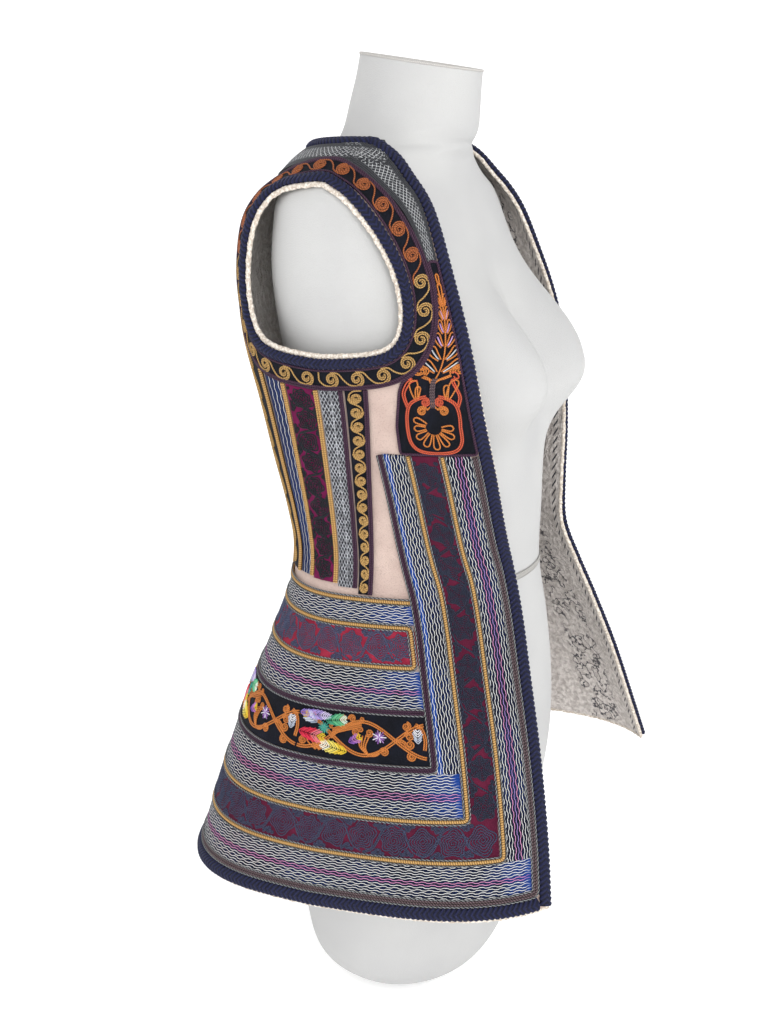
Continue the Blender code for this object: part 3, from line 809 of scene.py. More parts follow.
def fleece_finish(name, shade, light):
    finish = Finish(name, 0.95, 0.3, "#fff8f0", 0.2)
    lump = finish.noise(190.0, detail=2.0)
    curl = finish.noise(650.0, detail=2.0)
    colour = finish.mix(lump.ramp(0.3, 0.7), shade, light)
    from_edge, above_hem = finish.along_across()
    dash = (above_hem / 0.0085 + from_edge / 0.006).fract() - 0.5
    on_dash = dash.within(0.16, 0.07) * (from_edge - 0.0090).within(0.0028, 0.0006)
    trace = (finish.noise(95.0, detail=3.0) - 0.5).within(0.030, 0.012)
    column = (from_edge - 0.052).within(0.021, 0.004)
    spots = finish.noise(38.0).ramp(0.40, 0.50)
    colour = finish.mix(trace * column * spots, colour, "#4c4a4e")
    colour = finish.mix(on_dash, colour, "#34353c")
    return finish.done(colour, lump * 2.0 + curl, 0.0022)


def jersey_finish():
    finish = Finish("form jersey", 0.8, 0.15, "#ffffff", 0.3)
    rib = finish.noise(1400.0, detail=1.0)
    patch = finish.noise(9.0, detail=2.0)
    colour = finish.mix(patch.ramp(0.3, 0.7), "#b5b5b5", "#bcbcbb")
    return finish.done(colour, rib + finish.noise(60.0) * 0.4, 0.00035)


def dark_finish(name, code, light, roughness=0.9, sheen=0.3):
    """Velvet or baize: one dark colour with a nap that catches the light."""
    finish = Finish(name, roughness, sheen, light, 0.2)
    nap = finish.noise(700.0, detail=3.0)
    worn = finish.noise(60.0, detail=3.0)
    colour = finish.mix(worn.ramp(0.35, 0.75) * 0.5, code, light)
    return finish.done(colour, nap + worn * 0.5, 0.0006)


WOOL, JERSEY = wool_finish(), jersey_finish()
FLEECE = fleece_finish("fleece inside the fronts", "#b6aea9", "#dfd8d3")
# The back's fleece is the fronts' fleece painted lighter. This is painted light, standing in for the light that
# reaches the inside of the back through the armholes.
FLEECE_PAINTED_LIGHTER = fleece_finish("fleece inside the back painted lighter", "#dfd8d2", "#f6f1ec")
BLACK = dark_finish("black velvet", "#080a12", "#141826")
MAROON = dark_finish("maroon cloth", "#4a0f28", "#661a36")
RED = dark_finish("red cloth", "#7a1a30", "#a83248")
MAGENTA = dark_finish("magenta cloth", "#5c0f3a", "#7e1e54")
print("plain cloths:", [cloth.name for cloth in (WOOL, FLEECE, JERSEY, BLACK, MAROON, RED, MAGENTA)])


# %% Twisted cords and plait
def cord_finish(name, first, second, pitch=0.0032, strands=2.0, depth=0.0005, sheen=0.2):
    """Yarns twisted round each other: two colours that wind with the length. The second, darker one lies in the
    grooves where the bump is low, so it is partly the yarns' own colour and partly painted shade.
    """
    finish = Finish(name, 0.75, sheen, first, 0.35)
    along, round_cord = finish.along_across()
    twist = (along / pitch + round_cord * strands) * (2 * np.pi)
    swell = (twist.sine() + 1.0) * 0.5
    # The second colour fills the troughs of the twist's bump: partly the yarns' own colour, partly painted shade in
    # the grooves.
    colour = finish.mix(swell.ramp(0.15, 0.8), second, first)
    worn = finish.noise(420.0, detail=2.0)
    colour = finish.mix(worn.ramp(0.6, 0.8) * 0.4, colour, second)
    return finish.done(colour, swell, depth)


def plait_finish():
    finish = Finish("navy plait", 0.75, 0.12, "#8a94d8", 0.3)
    along, round_cord = finish.along_across()
    lean = (round_cord * (2 * np.pi)).math("COSINE")
    strand = ((along / 0.0046 + lean.size() * 0.9) * (2 * np.pi)).sine()
    fibre = finish.noise(1100.0, detail=2.0)
    # The plait is lighter on its raised strands and darker between them, which is painted shade between the
    # strands.
    colour = finish.mix(strand.ramp(-0.8, 0.9), "#0c0e22", "#171b3e")
    # Pale flecks on the high fibres are painted glints.
    colour = finish.mix(fibre.ramp(0.62, 0.78) * 0.5, colour, "#30365e")
    return finish.done(colour, strand * 0.6 + fibre * 0.4, 0.0006)


PLAIT = plait_finish()
# Each cord's second, darker colour sits in its grooves: partly its own colour, partly painted shade.
GOLD = cord_finish("gold cord", "#c99f60", "#805f36", 0.0021, 1.0, 0.0004)
PLUM = cord_finish("plum cord", "#47293f", "#251426", 0.0022)
NIGHT = cord_finish("black cord", "#23252f", "#0a0b10", 0.0024)
OCHRE = cord_finish("ochre cord", "#d0a868", "#8a6a3c", 0.0022)
RUST = cord_finish("rust cord", "#b8683c", "#74401f", 0.0022)
ORANGE = cord_finish("orange cord", "#e08c42", "#a85e28", 0.0020)
SCARLET = cord_finish("red cord", "#e06a48", "#a63a28", 0.0020)
NAVY = cord_finish("navy cord", "#333950", "#121522", 0.0022)
DUSK = cord_finish("dusk cord", "#4c5270", "#1e2234", 0.0022)
SLATE = cord_finish("slate cord", "#5a6080", "#25293f", 0.0022)
SILVER = cord_finish("silver and brown cord", "#6a585c", "#2a1f24", 0.0026)
SPECKLED = cord_finish("black and white cord", "#8e9092", "#101116", 0.0040)
print("cords:", [cord.name for cord in (GOLD, PLUM, NIGHT, OCHRE, ORANGE, SCARLET, NAVY, SLATE, SILVER)])

# %% [markdown]
# ## The coat's own cloth
# The coat is cut as one back and two fronts, joined at the sides and shoulders. Each
# is one sheet of wool. The back is bounded by the armholes, so its grid narrows
# between them and widens again at the shoulders.


# %% Back and fronts
def side_line(towards, count=150):
    """Rows from hem to neck, and where the back or the front ends at each."""
    turns = np.radians(np.linspace(-90, 90, 61))
    angle, t = armhole_side(turns, towards)
    below, above = np.linspace(0, t[0], count)[:-1], np.linspace(t[-1], TOP, 16)[1:]
    rows = np.concatenate([below, t, above])
    ends = np.concatenate([np.full(len(below), np.pi / 2), angle, np.full(len(above), np.pi / 2)])
    return rows, ends


def lay_wall(name, rows, low_angle, high_angle, columns, nodes, side, lining):
    count = len(rows) - 1
    piece, u, v = new_grid(name, columns, count)
    place = v * count
    t = np.interp(place, np.arange(count + 1), rows)
    low, high = (np.interp(place, np.arange(count + 1), ends) for ends in (low_angle, high_angle))
    angle = low + (high - low) * u
    flip = np.array([side, 1.0, 1.0])
    points, normals = on_vest(angle, t, 0.0)
    shape_grid(piece, points * flip, normals * flip)
    radius, edge = vest_ring(t)[1], vest_ring(t)[-1]
    write_uv(piece.data, (edge - np.abs(angle)) * radius, row_values(VEST_ROWS, t)[0] - VEST_ROWS[0, 0])
    area, inside = mesh_area(piece.data), len(piece.data.vertices)
    thicken(piece, WALL)
    piece.data.materials.append(WOOL)
    piece.data.materials.append(lining)
    for face in piece.data.polygons:
        face.material_index = 0 if max(face.vertices) < inside else 1
    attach(piece, "root")
    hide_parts(*nodes)
    middle_line = on_vest(np.median(angle), rows)[0]
    length = float(np.linalg.norm(np.diff(middle_line, axis=0), axis=1).sum())
    declare_sheet(piece, length, area / length, area)
    print(name, round(area, 4), "m2, box", (points.max(0) - points.min(0)).round(3).tolist())
    return piece


rows, back_end = side_line(1)
back_nodes = ("back_skirt", "back_bodice")
# The back is lined with the lighter copy of the fleece, which is painted light inside the back.
lay_wall("wool_back", rows, -back_end, back_end, 150, back_nodes, 1, FLEECE_PAINTED_LIGHTER)
rows, front_start = side_line(-1)
front_edge = vest_ring(rows)[-1]
for side, label in SIDES:
    nodes = (f"front_panel_{label}",)
    lay_wall(f"wool_front_{label}", rows, front_start, front_edge, 60, nodes, side, FLEECE)

# %% [markdown]
# ## Bands of waving threads
# Most of the skirt and border is dark cloth covered with long rows of couched
# thread that wave from side to side. Drawing each thread as a tube would take
# millions of faces for threads half a millimetre thick, so the finish draws them: the
# distance across the band picks the row and its colour, and a sine of the distance
# along it bends the row.

# %% Waving threads
def wave_finish(name, width, length, rows, ground="#070910", between="#263f7e",
                wave=0.0104, swing=0.00052, thick=0.00026, blue_ends=0.0, blue_side=0.0, margin=0.0020):
    """rows is the colours of the waving threads, from the low side up."""
    finish = Finish(name, 0.85, 0.08, "#8090c0", 0.2)
    along, across = finish.along_across()
    pitch = (width - 2 * margin) / len(rows)
    row = (across - margin) / pitch
    shift = finish.speckle(row, row * 0.0) * 2.6
    slow = finish.noise(24.0, finish.spot(along, across)) * 2.5
    bend = ((along / wave) * (2 * np.pi) + shift + slow).sine()
    sharp = ((along / wave) * (6 * np.pi) + shift * 3.0 + slow * 3.0).sine() * 0.22
    thread_row = (across - margin + (bend + sharp) * swing) / pitch
    in_row = (thread_row.fract() - 0.5) * pitch
    thread = in_row.within(thick, 0.00016)
    beads = (along / 0.0021 + shift).fract() - 0.5
    thread_colour = finish.steps(thread_row / float(len(rows)), rows)
    cord_between = (in_row.size() - pitch / 2).within(pitch * 0.17, 0.0003)
    twist = ((along / 0.0022 + across / 0.0022) * (2 * np.pi)).sine()
    colour = finish.mix(finish.noise(420.0).ramp(0.4, 0.8) * 0.5, ground, "#12151f")
    if blue_ends:
        from_end = (along - length / 2).size() * -1.0 + length / 2
        ragged = finish.noise(90.0) * 0.016
        patch = finish.noise(38.0).ramp(0.35, 0.65)
        colour = finish.mix(from_end.ramp(0.055, 0.010) * patch * 0.7, colour, "#1d3f86")
        colour = finish.mix((from_end + ragged).ramp(blue_ends + 0.006, blue_ends + 0.002), colour, "#153c86")
    if blue_side:
        ragged = finish.noise(120.0) * 0.003
        colour = finish.mix((across + ragged).ramp(width - blue_side, width - blue_side + 0.001), colour, "#1a4596")
    blue_patch = finish.noise(16.0).ramp(0.35, 0.65) * 0.6 + 0.2
    colour = finish.mix(cord_between * twist.ramp(-0.9, 0.6) * blue_patch, colour, between)
    if blue_ends:
        thread = thread * (from_end + ragged).ramp(blue_ends - 0.002, blue_ends + 0.006)
    colour = finish.mix(thread * (beads.within(0.46, 0.04) * 0.1 + 0.9), colour, thread_colour)
    fibre = finish.noise(800.0, detail=2.0)
    height = thread + cord_between * (twist * 0.2 + 0.6) + fibre * 0.35
    return finish.done(colour, height, 0.0009)


WHITE, PINK, VIOLET = "#ffffff", "#f4aadc", "#b496e0"
WAVE_ROWS = {
    "skirt_band_wave_hem": [WHITE] * 4 + [PINK] * 2 + [WHITE] * 5,
    "skirt_band_wave_low": [WHITE] * 5 + [PINK] * 3 + [WHITE] * 6,
    "skirt_band_wave_high": [WHITE] * 4 + [PINK] * 2 + [WHITE] * 6,
    "skirt_band_wave_waist": [WHITE] * 6,
}
OTHER_BANDS = {
    "skirt_band_rosette_low": MAROON,
    "skirt_band_flower": BLACK,
    "skirt_band_rosette_high": RED,
}
SLOTS = {MAROON: "plum_cloth", BLACK: "black_cloth", RED: "red_cloth"}
for name, strip in BANDS.items():
    length, width = strip["along"][-1], strip["across"][-1]
    if name in WAVE_ROWS:
        finish = wave_finish(name + " threads", width, length, WAVE_ROWS[name], blue_ends=0.009)
        slot = "blue_cloth"
    else:
        finish, slot = OTHER_BANDS[name], SLOTS[OTHER_BANDS[name]]
    piece = lay_strip(name.replace("skirt_", ""), strip, finish, slot, (name,))
    print(piece.name, "faces", len(piece.data.polygons))

# %% Border strips
BORDER_ROWS = {
    "border_wave_inner": [WHITE, WHITE, PINK, VIOLET, PINK, WHITE, WHITE],
    "border_wave_outer": [WHITE] * 6,
}
for name, strip in BORDERS.items():
    length, width = strip["along"][-1], strip["across"][-1]
    if name in BORDER_ROWS:
        felt_side = 0.004 if name.endswith("outer") else 0.0
        finish = wave_finish(name + " threads", width, length, BORDER_ROWS[name], blue_side=felt_side)
        slot = "blue_cloth"
    else:
        finish, slot = MAROON, "plum_cloth"
    front_name = name.replace("border_", "front_")
    for side, label in SIDES:
        lay_strip(f"{front_name}_{label}", strip, finish, slot, (f"{name}_{label}",), side)
print("border strips laid on both fronts")

# %% Chest panels, armhole bands, neck band and underarm strips
def lattice_finish(name, ground="#222328", thread="#bcbec4", pitch=0.0062, rows=0.0031):
    """Threads that cross in rows of small diamonds."""
    finish = Finish(name, 0.85, 0.2, "#c0c4d0", 0.25)
    along, across = finish.along_across()
    slow = finish.noise(40.0) * 0.5
    rise = ((along / pitch + slow).fract() - 0.5).size() * 2.0
    one = ((across / rows + rise * 0.5).fract() - 0.5).within(0.11, 0.05)
    other = ((across / rows - rise * 0.5).fract() - 0.5).within(0.11, 0.05)
    rail = ((across / (rows * 3) + 0.5).fract() - 0.5).within(0.035, 0.02)
    threads = one.math("MAXIMUM", other).math("MAXIMUM", rail)
    worn = finish.noise(230.0, detail=3.0).ramp(0.35, 0.6)
    colour = finish.mix(finish.noise(500.0).ramp(0.4, 0.8), ground, "#3b3c42")
    colour = finish.mix(threads * (worn * 0.6 + 0.4), colour, thread)
    return finish.done(colour, threads + finish.noise(900.0) * 0.4, 0.0007)


LATTICE = lattice_finish("grey lattice of threads")


def neck_finish():
    """Grey cloth with zigzag threads down its middle and thin pale lines beside them."""
    finish = Finish("neck band threads", 0.85, 0.2, "#c0c4d0", 0.25)
    along, across = finish.along_across()
    from_middle = (across - 0.014).size()
    slow = finish.noise(30.0, finish.spot(along, across)) * 0.6
    threads = None
    for offset, length in ((0.0, 0.0090), (0.5, 0.0090)):
        rise = ((along / length + slow + offset).fract() - 0.5).size() * 2.0
        zigzag = ((across / 0.0046 + rise).fract() - 0.5).within(0.075, 0.05)
        threads = zigzag if threads is None else threads.math("MAXIMUM", zigzag)
    middle = from_middle.ramp(0.0090, 0.0065)
    fine = ((across / 0.0019).fract() - 0.5).within(0.10, 0.08) * 0.22
    worn = finish.noise(260.0, detail=3.0).ramp(0.30, 0.50)
    colour = finish.mix(finish.noise(500.0).ramp(0.4, 0.8), "#1b1c20", "#2e2f34")
    colour = finish.mix(fine, colour, "#9a9ca0")
    colour = finish.mix(threads * middle * (worn * 0.7 + 0.3), colour, "#d6d8da")
    return finish.done(colour, threads * middle + finish.noise(900.0) * 0.4, 0.0007)


NECK = neck_finish()
UNDERARM = {
    "wave": ((68.4, 67.6), (75.6, 75.6), None, "blue_cloth", 4.66),
    "rosette": ((76.8, 76.8), (86.8, 87.4), MAGENTA, "plum_cloth", 4.63),
    "lattice": ((88.0, 88.6), (94.8, 96.0), LATTICE, "grey_cloth", 4.57),
    "scroll": ((96.2, 97.4), (100.8, 104.2), BLACK, "black_cloth", 4.46),
}
UNDERARM_STRIPS = {}
for name, (back, front, finish, slot, foot) in UNDERARM.items():
    strip = underarm_strip(back, front, foot)
    UNDERARM_STRIPS[name] = strip
    if finish is None:
        length, width = strip["along"][-1], strip["across"][-1]
        finish = wave_finish("underarm threads", width, length, [WHITE] * 3, "#1a2448", wave=0.011)
    for side, label in SIDES:
        nodes = [f"underarm_panel_{label}"] if name == "rosette" else []
        lay_strip(f"underarm_{name}_{label}", strip, finish, slot, nodes, side)

BACK_STRIP = underarm_strip((54.5, 50.5), (66.0, 65.0))
NECK_LOW, NECK_WIDE = 11.30, 0.0310
neck_angle, neck_row = opening_line(2)
kept = (neck_row > NECK_LOW).nonzero()[0]
kept = slice(kept[0], kept[-1] + 1)
past_band = ARM_BRAID + PIECE_GAP + ARM_BAND + 0.0008
outer_angle, outer_row = step_sideways(arm_angle, arm_row, -past_band, closed=True)
outer_edge = inner_face(outer_angle, outer_row)
outer_edge = np.concatenate([outer_edge, outer_edge * [-1, 1, 1]])
neck_edge = inner_face(neck_angle, neck_row)
room = np.linalg.norm(neck_edge[:, None] - outer_edge[None], axis=-1).min(axis=1)
reach = np.minimum(NECK_WIDE + BRAID_WIDTH, room - 0.001)
reach = np.convolve(np.pad(reach, 12, mode="edge"), np.ones(25) / 25, "valid")
neck_lines = []
for share in np.linspace(0, 1, 7):
    inward = BRAID_WIDTH + PIECE_GAP + share * (reach - BRAID_WIDTH - PIECE_GAP)
    angle, t = step_sideways(neck_angle, neck_row, -inward)
    neck_lines.append((angle[kept], t[kept]))
NECK_STRIP = strip_map(neck_lines)
lay_strip("neck_cloth", NECK_STRIP, NECK, "grey_cloth", ("neck_band",))
for side, label in SIDES:
    for name, strip, node in (
        ("armhole_cloth", ARM_STRIP, "armhole_band"),
        ("chest_cloth", CHEST_STRIP, "chest_panel"),
        ("back_cloth", BACK_STRIP, "back_strip"),
    ):
        lay_strip(f"{name}_{label}", strip, BLACK, "black_cloth", (f"{node}_{label}",), side,
                  closed=strip is ARM_STRIP)
print("sheets of cloth so far:", len(CLOTHS))

# %% [markdown]
# ## The navy plait
# The thick plait that binds every edge is braided wool, wider than it is high. It is
# one swept cord whose rings swell and shrink where the strands cross, so its edge
# looks knotted from the side too.

# %% Softened corners
def soften(points, normals, reach, closed=False):
    """Evens the path out and rounds its corners over about this length."""
    step = 0.0012
    points, normals, _, _ = even_path(points, normals, step, closed)
    half = max(1, round(reach / step / 2))
    mode = "wrap" if closed else "reflect"
    odd = {} if closed else {"reflect_type": "odd"}
    pad = [np.pad(grid, ((half, half), (0, 0)), mode=mode, **odd) for grid in (points, normals)]
    kernel = np.hanning(2 * half + 3)[1:-1]
    kernel /= kernel.sum()
    points, normals = (
        np.stack([np.convolve(grid[:, i], kernel, "valid") for i in range(3)], -1) for grid in pad)
    return points, unit(normals)


# %% Bind the edges
PLAIT_HALF_WIDE, PLAIT_HALF_HIGH, PLAIT_PITCH = 0.0056, 0.0031, 0.0046
ARM_PLAIT_HALF_WIDE = 0.0046


def plait_relief(place, turn):
    lean = np.abs(np.cos(turn)) * 0.9
    strands = np.sin(2 * np.pi * (place / PLAIT_PITCH + lean))
    return 0.10 * strands + 0.04 * np.sin(2 * np.pi * place / PLAIT_PITCH * 2)


def plait(points, normals, closed=False, half_wide=PLAIT_HALF_WIDE):
    rings, places, length = tube(
        points, normals, half_wide, PLAIT_HALF_HIGH, 18, 0.0012, closed, plait_relief)
    return rings, places, length, closed


middle, high = BRAID_WIDTH / 2 - 0.0006, WALL + 0.0020
angle, t = step_sideways(*opening_line(3), -middle)
front_plait = plait(*soften(*on_vest(angle, t, high), 0.030))
cord_mesh("front_and_neck_plait", [front_plait], PLAIT, ("opening_braid",))
share = np.linspace(1, -1, 401)
hem_end = float(front_inset(BRAID_WIDTH + 0.001, 0.1))
angle, t = step_sideways(share * hem_end, np.zeros_like(share), -middle)
if t.mean() <= 0:
    angle, t = step_sideways(share * hem_end, np.zeros_like(share), middle)
cord_mesh("hem_plait", [plait(*on_vest(angle, t, high))], PLAIT, ("hem_braid",))
angle, t = step_sideways(arm_angle, arm_row, -(ARM_BRAID / 2 - 0.0003), closed=True)
points, normals = on_vest(angle, t, high)
for side, label in SIDES:
    flip = np.array([side, 1.0, 1.0])
    ring = [plait(points * flip, normals * flip, True, ARM_PLAIT_HALF_WIDE)]
    ring = cord_mesh(f"armhole_plait_{label}", ring, PLAIT, (f"armhole_braid_{label}",))
    print(ring.name, len(ring.data.polygons), "faces")

# %% [markdown]
# ## Couched cords between the strips
# Every strip is framed by a thick gold or plum cord, with a thin black and white
# cord on each side of it that hides the cut edge of the cloth. Where a front strip
# meets a skirt band the cord turns the corner in one length. Each path is traced as
# one line over the coat, then its corners are softened as a real cord's are.

# %% Paths for the frames
def beside(path, offset, lift=0.0, closed=False):
    """The same path moved sideways over the cloth, and up."""
    points, normals = path
    if closed:
        along = unit(np.roll(points, -1, axis=0) - np.roll(points, 1, axis=0))
    else:
        along = unit(np.gradient(points, axis=0))
    return points + offset * np.cross(along, normals) + lift * normals, normals


def plain_cord(path, radius, sides=6, step=0.0020, flat=1.0, closed=False):
    rings, places, length = tube(*path, radius, radius * flat, sides, step, closed)
    return rings, places, length, closed


def turned_line(distance, height):
    """Down the right front, round the skirt at one height, and up the left front."""
    low = float(rows_at_heights(height))
    t = np.linspace(STRIP_TOP - 0.01, low, 160)
    angle = front_inset(distance, t)
    back = np.linspace(angle[-1], -angle[-1], 702)[1:-1]
    return np.concatenate([angle, back, -angle[::-1]]), np.concatenate([t, np.full(700, low), t[::-1]])


def level_line(distance, height):
    low = float(rows_at_heights(height))
    end = float(front_inset(distance, low))
    return np.linspace(end, -end, 700), np.full(700, low)


def half_way(edges):
    return (edges[1] + edges[2]) / 2


# %% Gold, plum and brown frames
CORD_BASE = WALL + 0.0022
OUTER_LINE = half_way(BORDER_EDGES["border_wave_outer"])
rosette_high, wave_high = BAND_EDGES["skirt_band_rosette_high"], BAND_EDGES["skirt_band_wave_high"]
gold_lines, plum_lines, flank_paths = [], [], []
for border, band in (
    ("border_wave_inner", "skirt_band_wave_hem"),
    ("border_rosette", "skirt_band_rosette_low"),
):
    gold_lines.append(turned_line(half_way(BORDER_EDGES[border]), half_way(BAND_EDGES[band])))
plum_lines.append(turned_line(OUTER_LINE, half_way(BAND_EDGES["skirt_band_wave_low"])))
gold_lines.append(level_line(OUTER_LINE + 0.004, half_way(BAND_EDGES["skirt_band_wave_waist"])))
plum_lines.append(level_line(OUTER_LINE + 0.003, half_way(BAND_EDGES["skirt_band_flower"])))


def ring_round_band(edges_low, edges_high, distance):
    """Both sides of one band, joined across its two front ends."""
    low, high = (float(rows_at_heights(height)) for height in (edges_low, edges_high))
    end_low, end_high = float(front_inset(distance, low)), float(front_inset(distance, high))
    there, back = np.linspace(end_high, -end_high, 700), np.linspace(-end_low, end_low, 700)
    return np.concatenate([there, back]), np.concatenate([np.full(700, high), np.full(700, low)])


red_frame = ring_round_band(half_way(wave_high), half_way(rosette_high), OUTER_LINE + 0.0075)


def lay_cords(name, finish, lines, radius, twin=0.0, flanks=0.0, closed_lines=(), reach=0.012):
    tubes = []
    for index, line in enumerate([*lines, *closed_lines]):
        closed = index >= len(lines)
        path = soften(*on_vest(*line, CORD_BASE), reach, closed)
        for offset in (-twin, twin) if twin else (0.0,):
            tubes.append(plain_cord(beside(path, offset, 0.0, closed), radius, closed=closed))
        for offset in (-flanks, flanks) if flanks else ():
            flank_paths.append((beside(path, offset, 0.0008, closed), closed))
    piece = cord_mesh(name, tubes, finish)
    print(name, round(sum(entry[2] for entry in tubes), 2), "m of cord,", len(piece.data.polygons), "faces")
    return piece


lay_cords("gold_frames", GOLD, gold_lines, 0.0017, flanks=0.0027, closed_lines=[red_frame])
lay_cords("plum_frames", PLUM, plum_lines, 0.0011, twin=0.0011, flanks=0.0028)
brown_line = turned_line(BRAID_WIDTH + 0.0034, BRAID_WIDTH + 0.0034)
lay_cords("brown_frames", SILVER, [brown_line], 0.0011, twin=0.0012, flanks=0.0030)

# %% Frames of the bodice
def strip_line(strip, along, across):
    row = np.interp(along, strip["along"], np.arange(len(strip["along"])))
    column = np.interp(across, strip["across"], np.arange(len(strip["across"])))
    return blend(strip["angle"], row, column), blend(strip["t"], row, column)


def strip_border(strip):
    """Round the edge of a strip, as a closed line."""
    length, width = strip["along"][-1], strip["across"][-1]
    up, over = np.linspace(0, length, 120), np.linspace(0, width, 30)[1:-1]
    along = np.concatenate([up, np.full(28, length), up[::-1], np.zeros(28)])
    across = np.concatenate([np.zeros(120), over, np.full(120, width), over[::-1]])
    return strip_line(strip, along, across)


arm_length, arm_width = ARM_STRIP["along"][-1], ARM_STRIP["across"][-1]
around = np.linspace(0, arm_length, 401)[:-1]
bodice_plum, single_plum, bodice_gold = [], [], []
for side in (1, -1):
    flip = np.array([side, 1.0, 1.0])

    def side_path(line, reach=0.008, closed=False, side_flip=flip):
        points, normals = on_vest(*line, CORD_BASE)
        return soften(points * side_flip, normals * side_flip, reach, closed)

    outer_ring = strip_line(ARM_STRIP, around, np.full(400, arm_width + 0.0012))
    inner_ring = strip_line(ARM_STRIP, around, np.full(400, 0.0004))
    bodice_plum.append((side_path(outer_ring, closed=True), True))
    single_plum.append((side_path(inner_ring, closed=True), 0.0010))
    single_plum.append((side_path(strip_border(CHEST_STRIP), closed=True), 0.0013))
    edges = [(UNDERARM_STRIPS[name], UNDERARM_STRIPS[name]["across"][-1] + 0.0004, group) for name, group in (
        ("wave", bodice_gold), ("rosette", bodice_gold), ("lattice", bodice_plum), ("scroll", bodice_plum))]
    edges += [(BACK_STRIP, across, bodice_gold) for across in (0.0, BACK_STRIP["across"][-1])]
    for strip, across, group in edges:
        up = np.linspace(0.0, strip["along"][-1], 140)
        group.append((side_path(strip_line(strip, up, np.full(140, across))), False))


def twin_cords(paths, radius, apart=0.0011, lift=0.0004):
    """Two cords side by side along each path."""
    return [plain_cord(beside(path, offset, lift, closed), radius, closed=closed)
            for path, closed in paths for offset in (-apart, apart)]


tubes = twin_cords(bodice_plum, 0.00115)
tubes += [plain_cord(beside(path, 0.0, 0.0004, True), radius, closed=True) for path, radius in single_plum]
cord_mesh("plum_cords_of_the_bodice", tubes, PLUM)
cord_mesh("gold_cords_of_the_bodice", twin_cords(bodice_gold, 0.0012), GOLD)
tubes = [plain_cord(path, 0.00075, 5, 0.0024, closed=closed) for path, closed in flank_paths]
flanks = cord_mesh("black_and_white_cords", tubes, SPECKLED)
print("frames of the bodice:", len(bodice_plum) + len(bodice_gold), "paths")
print("thin cords:", len(flanks.data.polygons), "faces")

# %% [markdown]
# ## Rosettes of dark cord
# The maroon and red strips are filled with rosettes: a dark cord wound from the
# middle outwards, turn beside turn, with a stem that waves from one to the next.
# Each winding is drawn flat, in metres along and across its strip, then laid on it.


# %% Rosettes and stems
def wound(x, y, radius, turns, hand=1, start=0.0, lobes=5, ripple=0.16, inner=0.0006):
    """A cord wound outwards from a middle, a little lobed like a rose."""
    turn = np.linspace(0, turns * 2 * np.pi, round(turns * 26))
    away = inner + (radius - inner) * turn / turn[-1]
    away = away * (1 + ripple * np.sin(lobes * turn + start))
    return x + away * np.cos(hand * turn + start), y + away * np.sin(hand * turn + start)


def smooth_line(points, count=12):
    """A smooth curve through a few drawn points."""
    points = np.asarray(points, float)
    padded = np.concatenate([2 * points[:1] - points[1:2], points, 2 * points[-1:] - points[-2:-1]])
    pieces = []
    u = np.linspace(0, 1, count, endpoint=False)[:, None]
    for a, b, c, d in zip(padded[:-3], padded[1:-2], padded[2:-1], padded[3:]):
        square, cube = 2 * a - 5 * b + 4 * c - d, 3 * b - a - 3 * c + d
        pieces.append(0.5 * (2 * b + (c - a) * u + square * u**2 + cube * u**3))
    line = np.concatenate(pieces + [points[-1:]])
    return line[:, 0], line[:, 1]


def rosette_row(length, width, pitch, turns=5.6, wander=0.0024, fill=0.42):
    """Rosettes along a strip, with a doubled stem and small curls that fill the gaps."""
    curves = []
    count = max(1, round(length / pitch))
    pitch = length / count
    radius = min(width / 2 - 0.0006, pitch / 2)
    for index in range(count):
        x = (index + 0.5) * pitch + float(rng.uniform(-wander, wander))
        y = width / 2 + float(rng.uniform(-wander, wander)) * 0.5
        hand = 1 if index % 2 else -1
        size = radius * float(rng.uniform(0.90, 1.0))
        curves.append(wound(x, y, size, turns, hand, float(rng.uniform(0, 6.3)), int(rng.integers(4, 8))))
        if index + 1 < count:
            rise = hand * (width / 2 - 0.0012)
            stem = [(x, y + rise), (x + pitch * 0.32, y + rise * 0.66), (x + pitch * 0.5, y),
                    (x + pitch * 0.68, y - rise * 0.66), (x + pitch, y - rise)]
            curves.append(smooth_line(stem))
            curves.append(smooth_line([(px + 0.0011, py + 0.0011) for px, py in stem]))
        for lean in (-1, 1):
            for step, share in ((0.5, 1.0), (0.34, 0.55), (0.66, 0.55)):
                cx, cy = x + step * pitch, y + lean * (width / 2 - 0.0006 - fill * share * 0.0080)
                if cx < length - 0.003:
                    start = float(rng.uniform(0, 6.3))
                    curves.append(wound(cx, cy, fill * share * 0.0080, 1.6 + share, lean, start, 3))
    return curves


for name, pitch, finish in (("skirt_band_rosette_low", 0.027, DUSK), ("skirt_band_rosette_high", 0.024, SLATE)):
    strip = BANDS[name]
    curves = rosette_row(strip["along"][-1], strip["across"][-1], pitch)
    tubes = tubes_on(strip, curves, 0.00066, base=-0.0003, step=0.0016, sides=4)
    piece = cord_mesh(name.replace("skirt_band", "cords_of"), tubes, finish)
    print(piece.name, len(piece.data.polygons), "faces,", round(sum(entry[2] for entry in tubes), 1), "m of cord")

# %% Rosettes of the fronts and under the arm
border, under = BORDERS["border_rosette"], UNDERARM_STRIPS["rosette"]
border_curves = rosette_row(border["along"][-1], border["across"][-1], 0.030, 6.0)
under_curves = rosette_row(under["along"][-1], under["across"][-1], 0.022, 4.2, 0.0016, 0.30)
for side, label in SIDES:
    tubes = tubes_on(border, border_curves, 0.00070, side, -0.0003, 0.0015, 4)
    cord_mesh(f"front_rosettes_{label}", tubes, NAVY)
    tubes = tubes_on(under, under_curves, 0.00085, side, -0.0003, 0.0015, 4)
    cord_mesh(f"underarm_rosettes_{label}", tubes, NIGHT)
print("front and underarm rosettes laid")

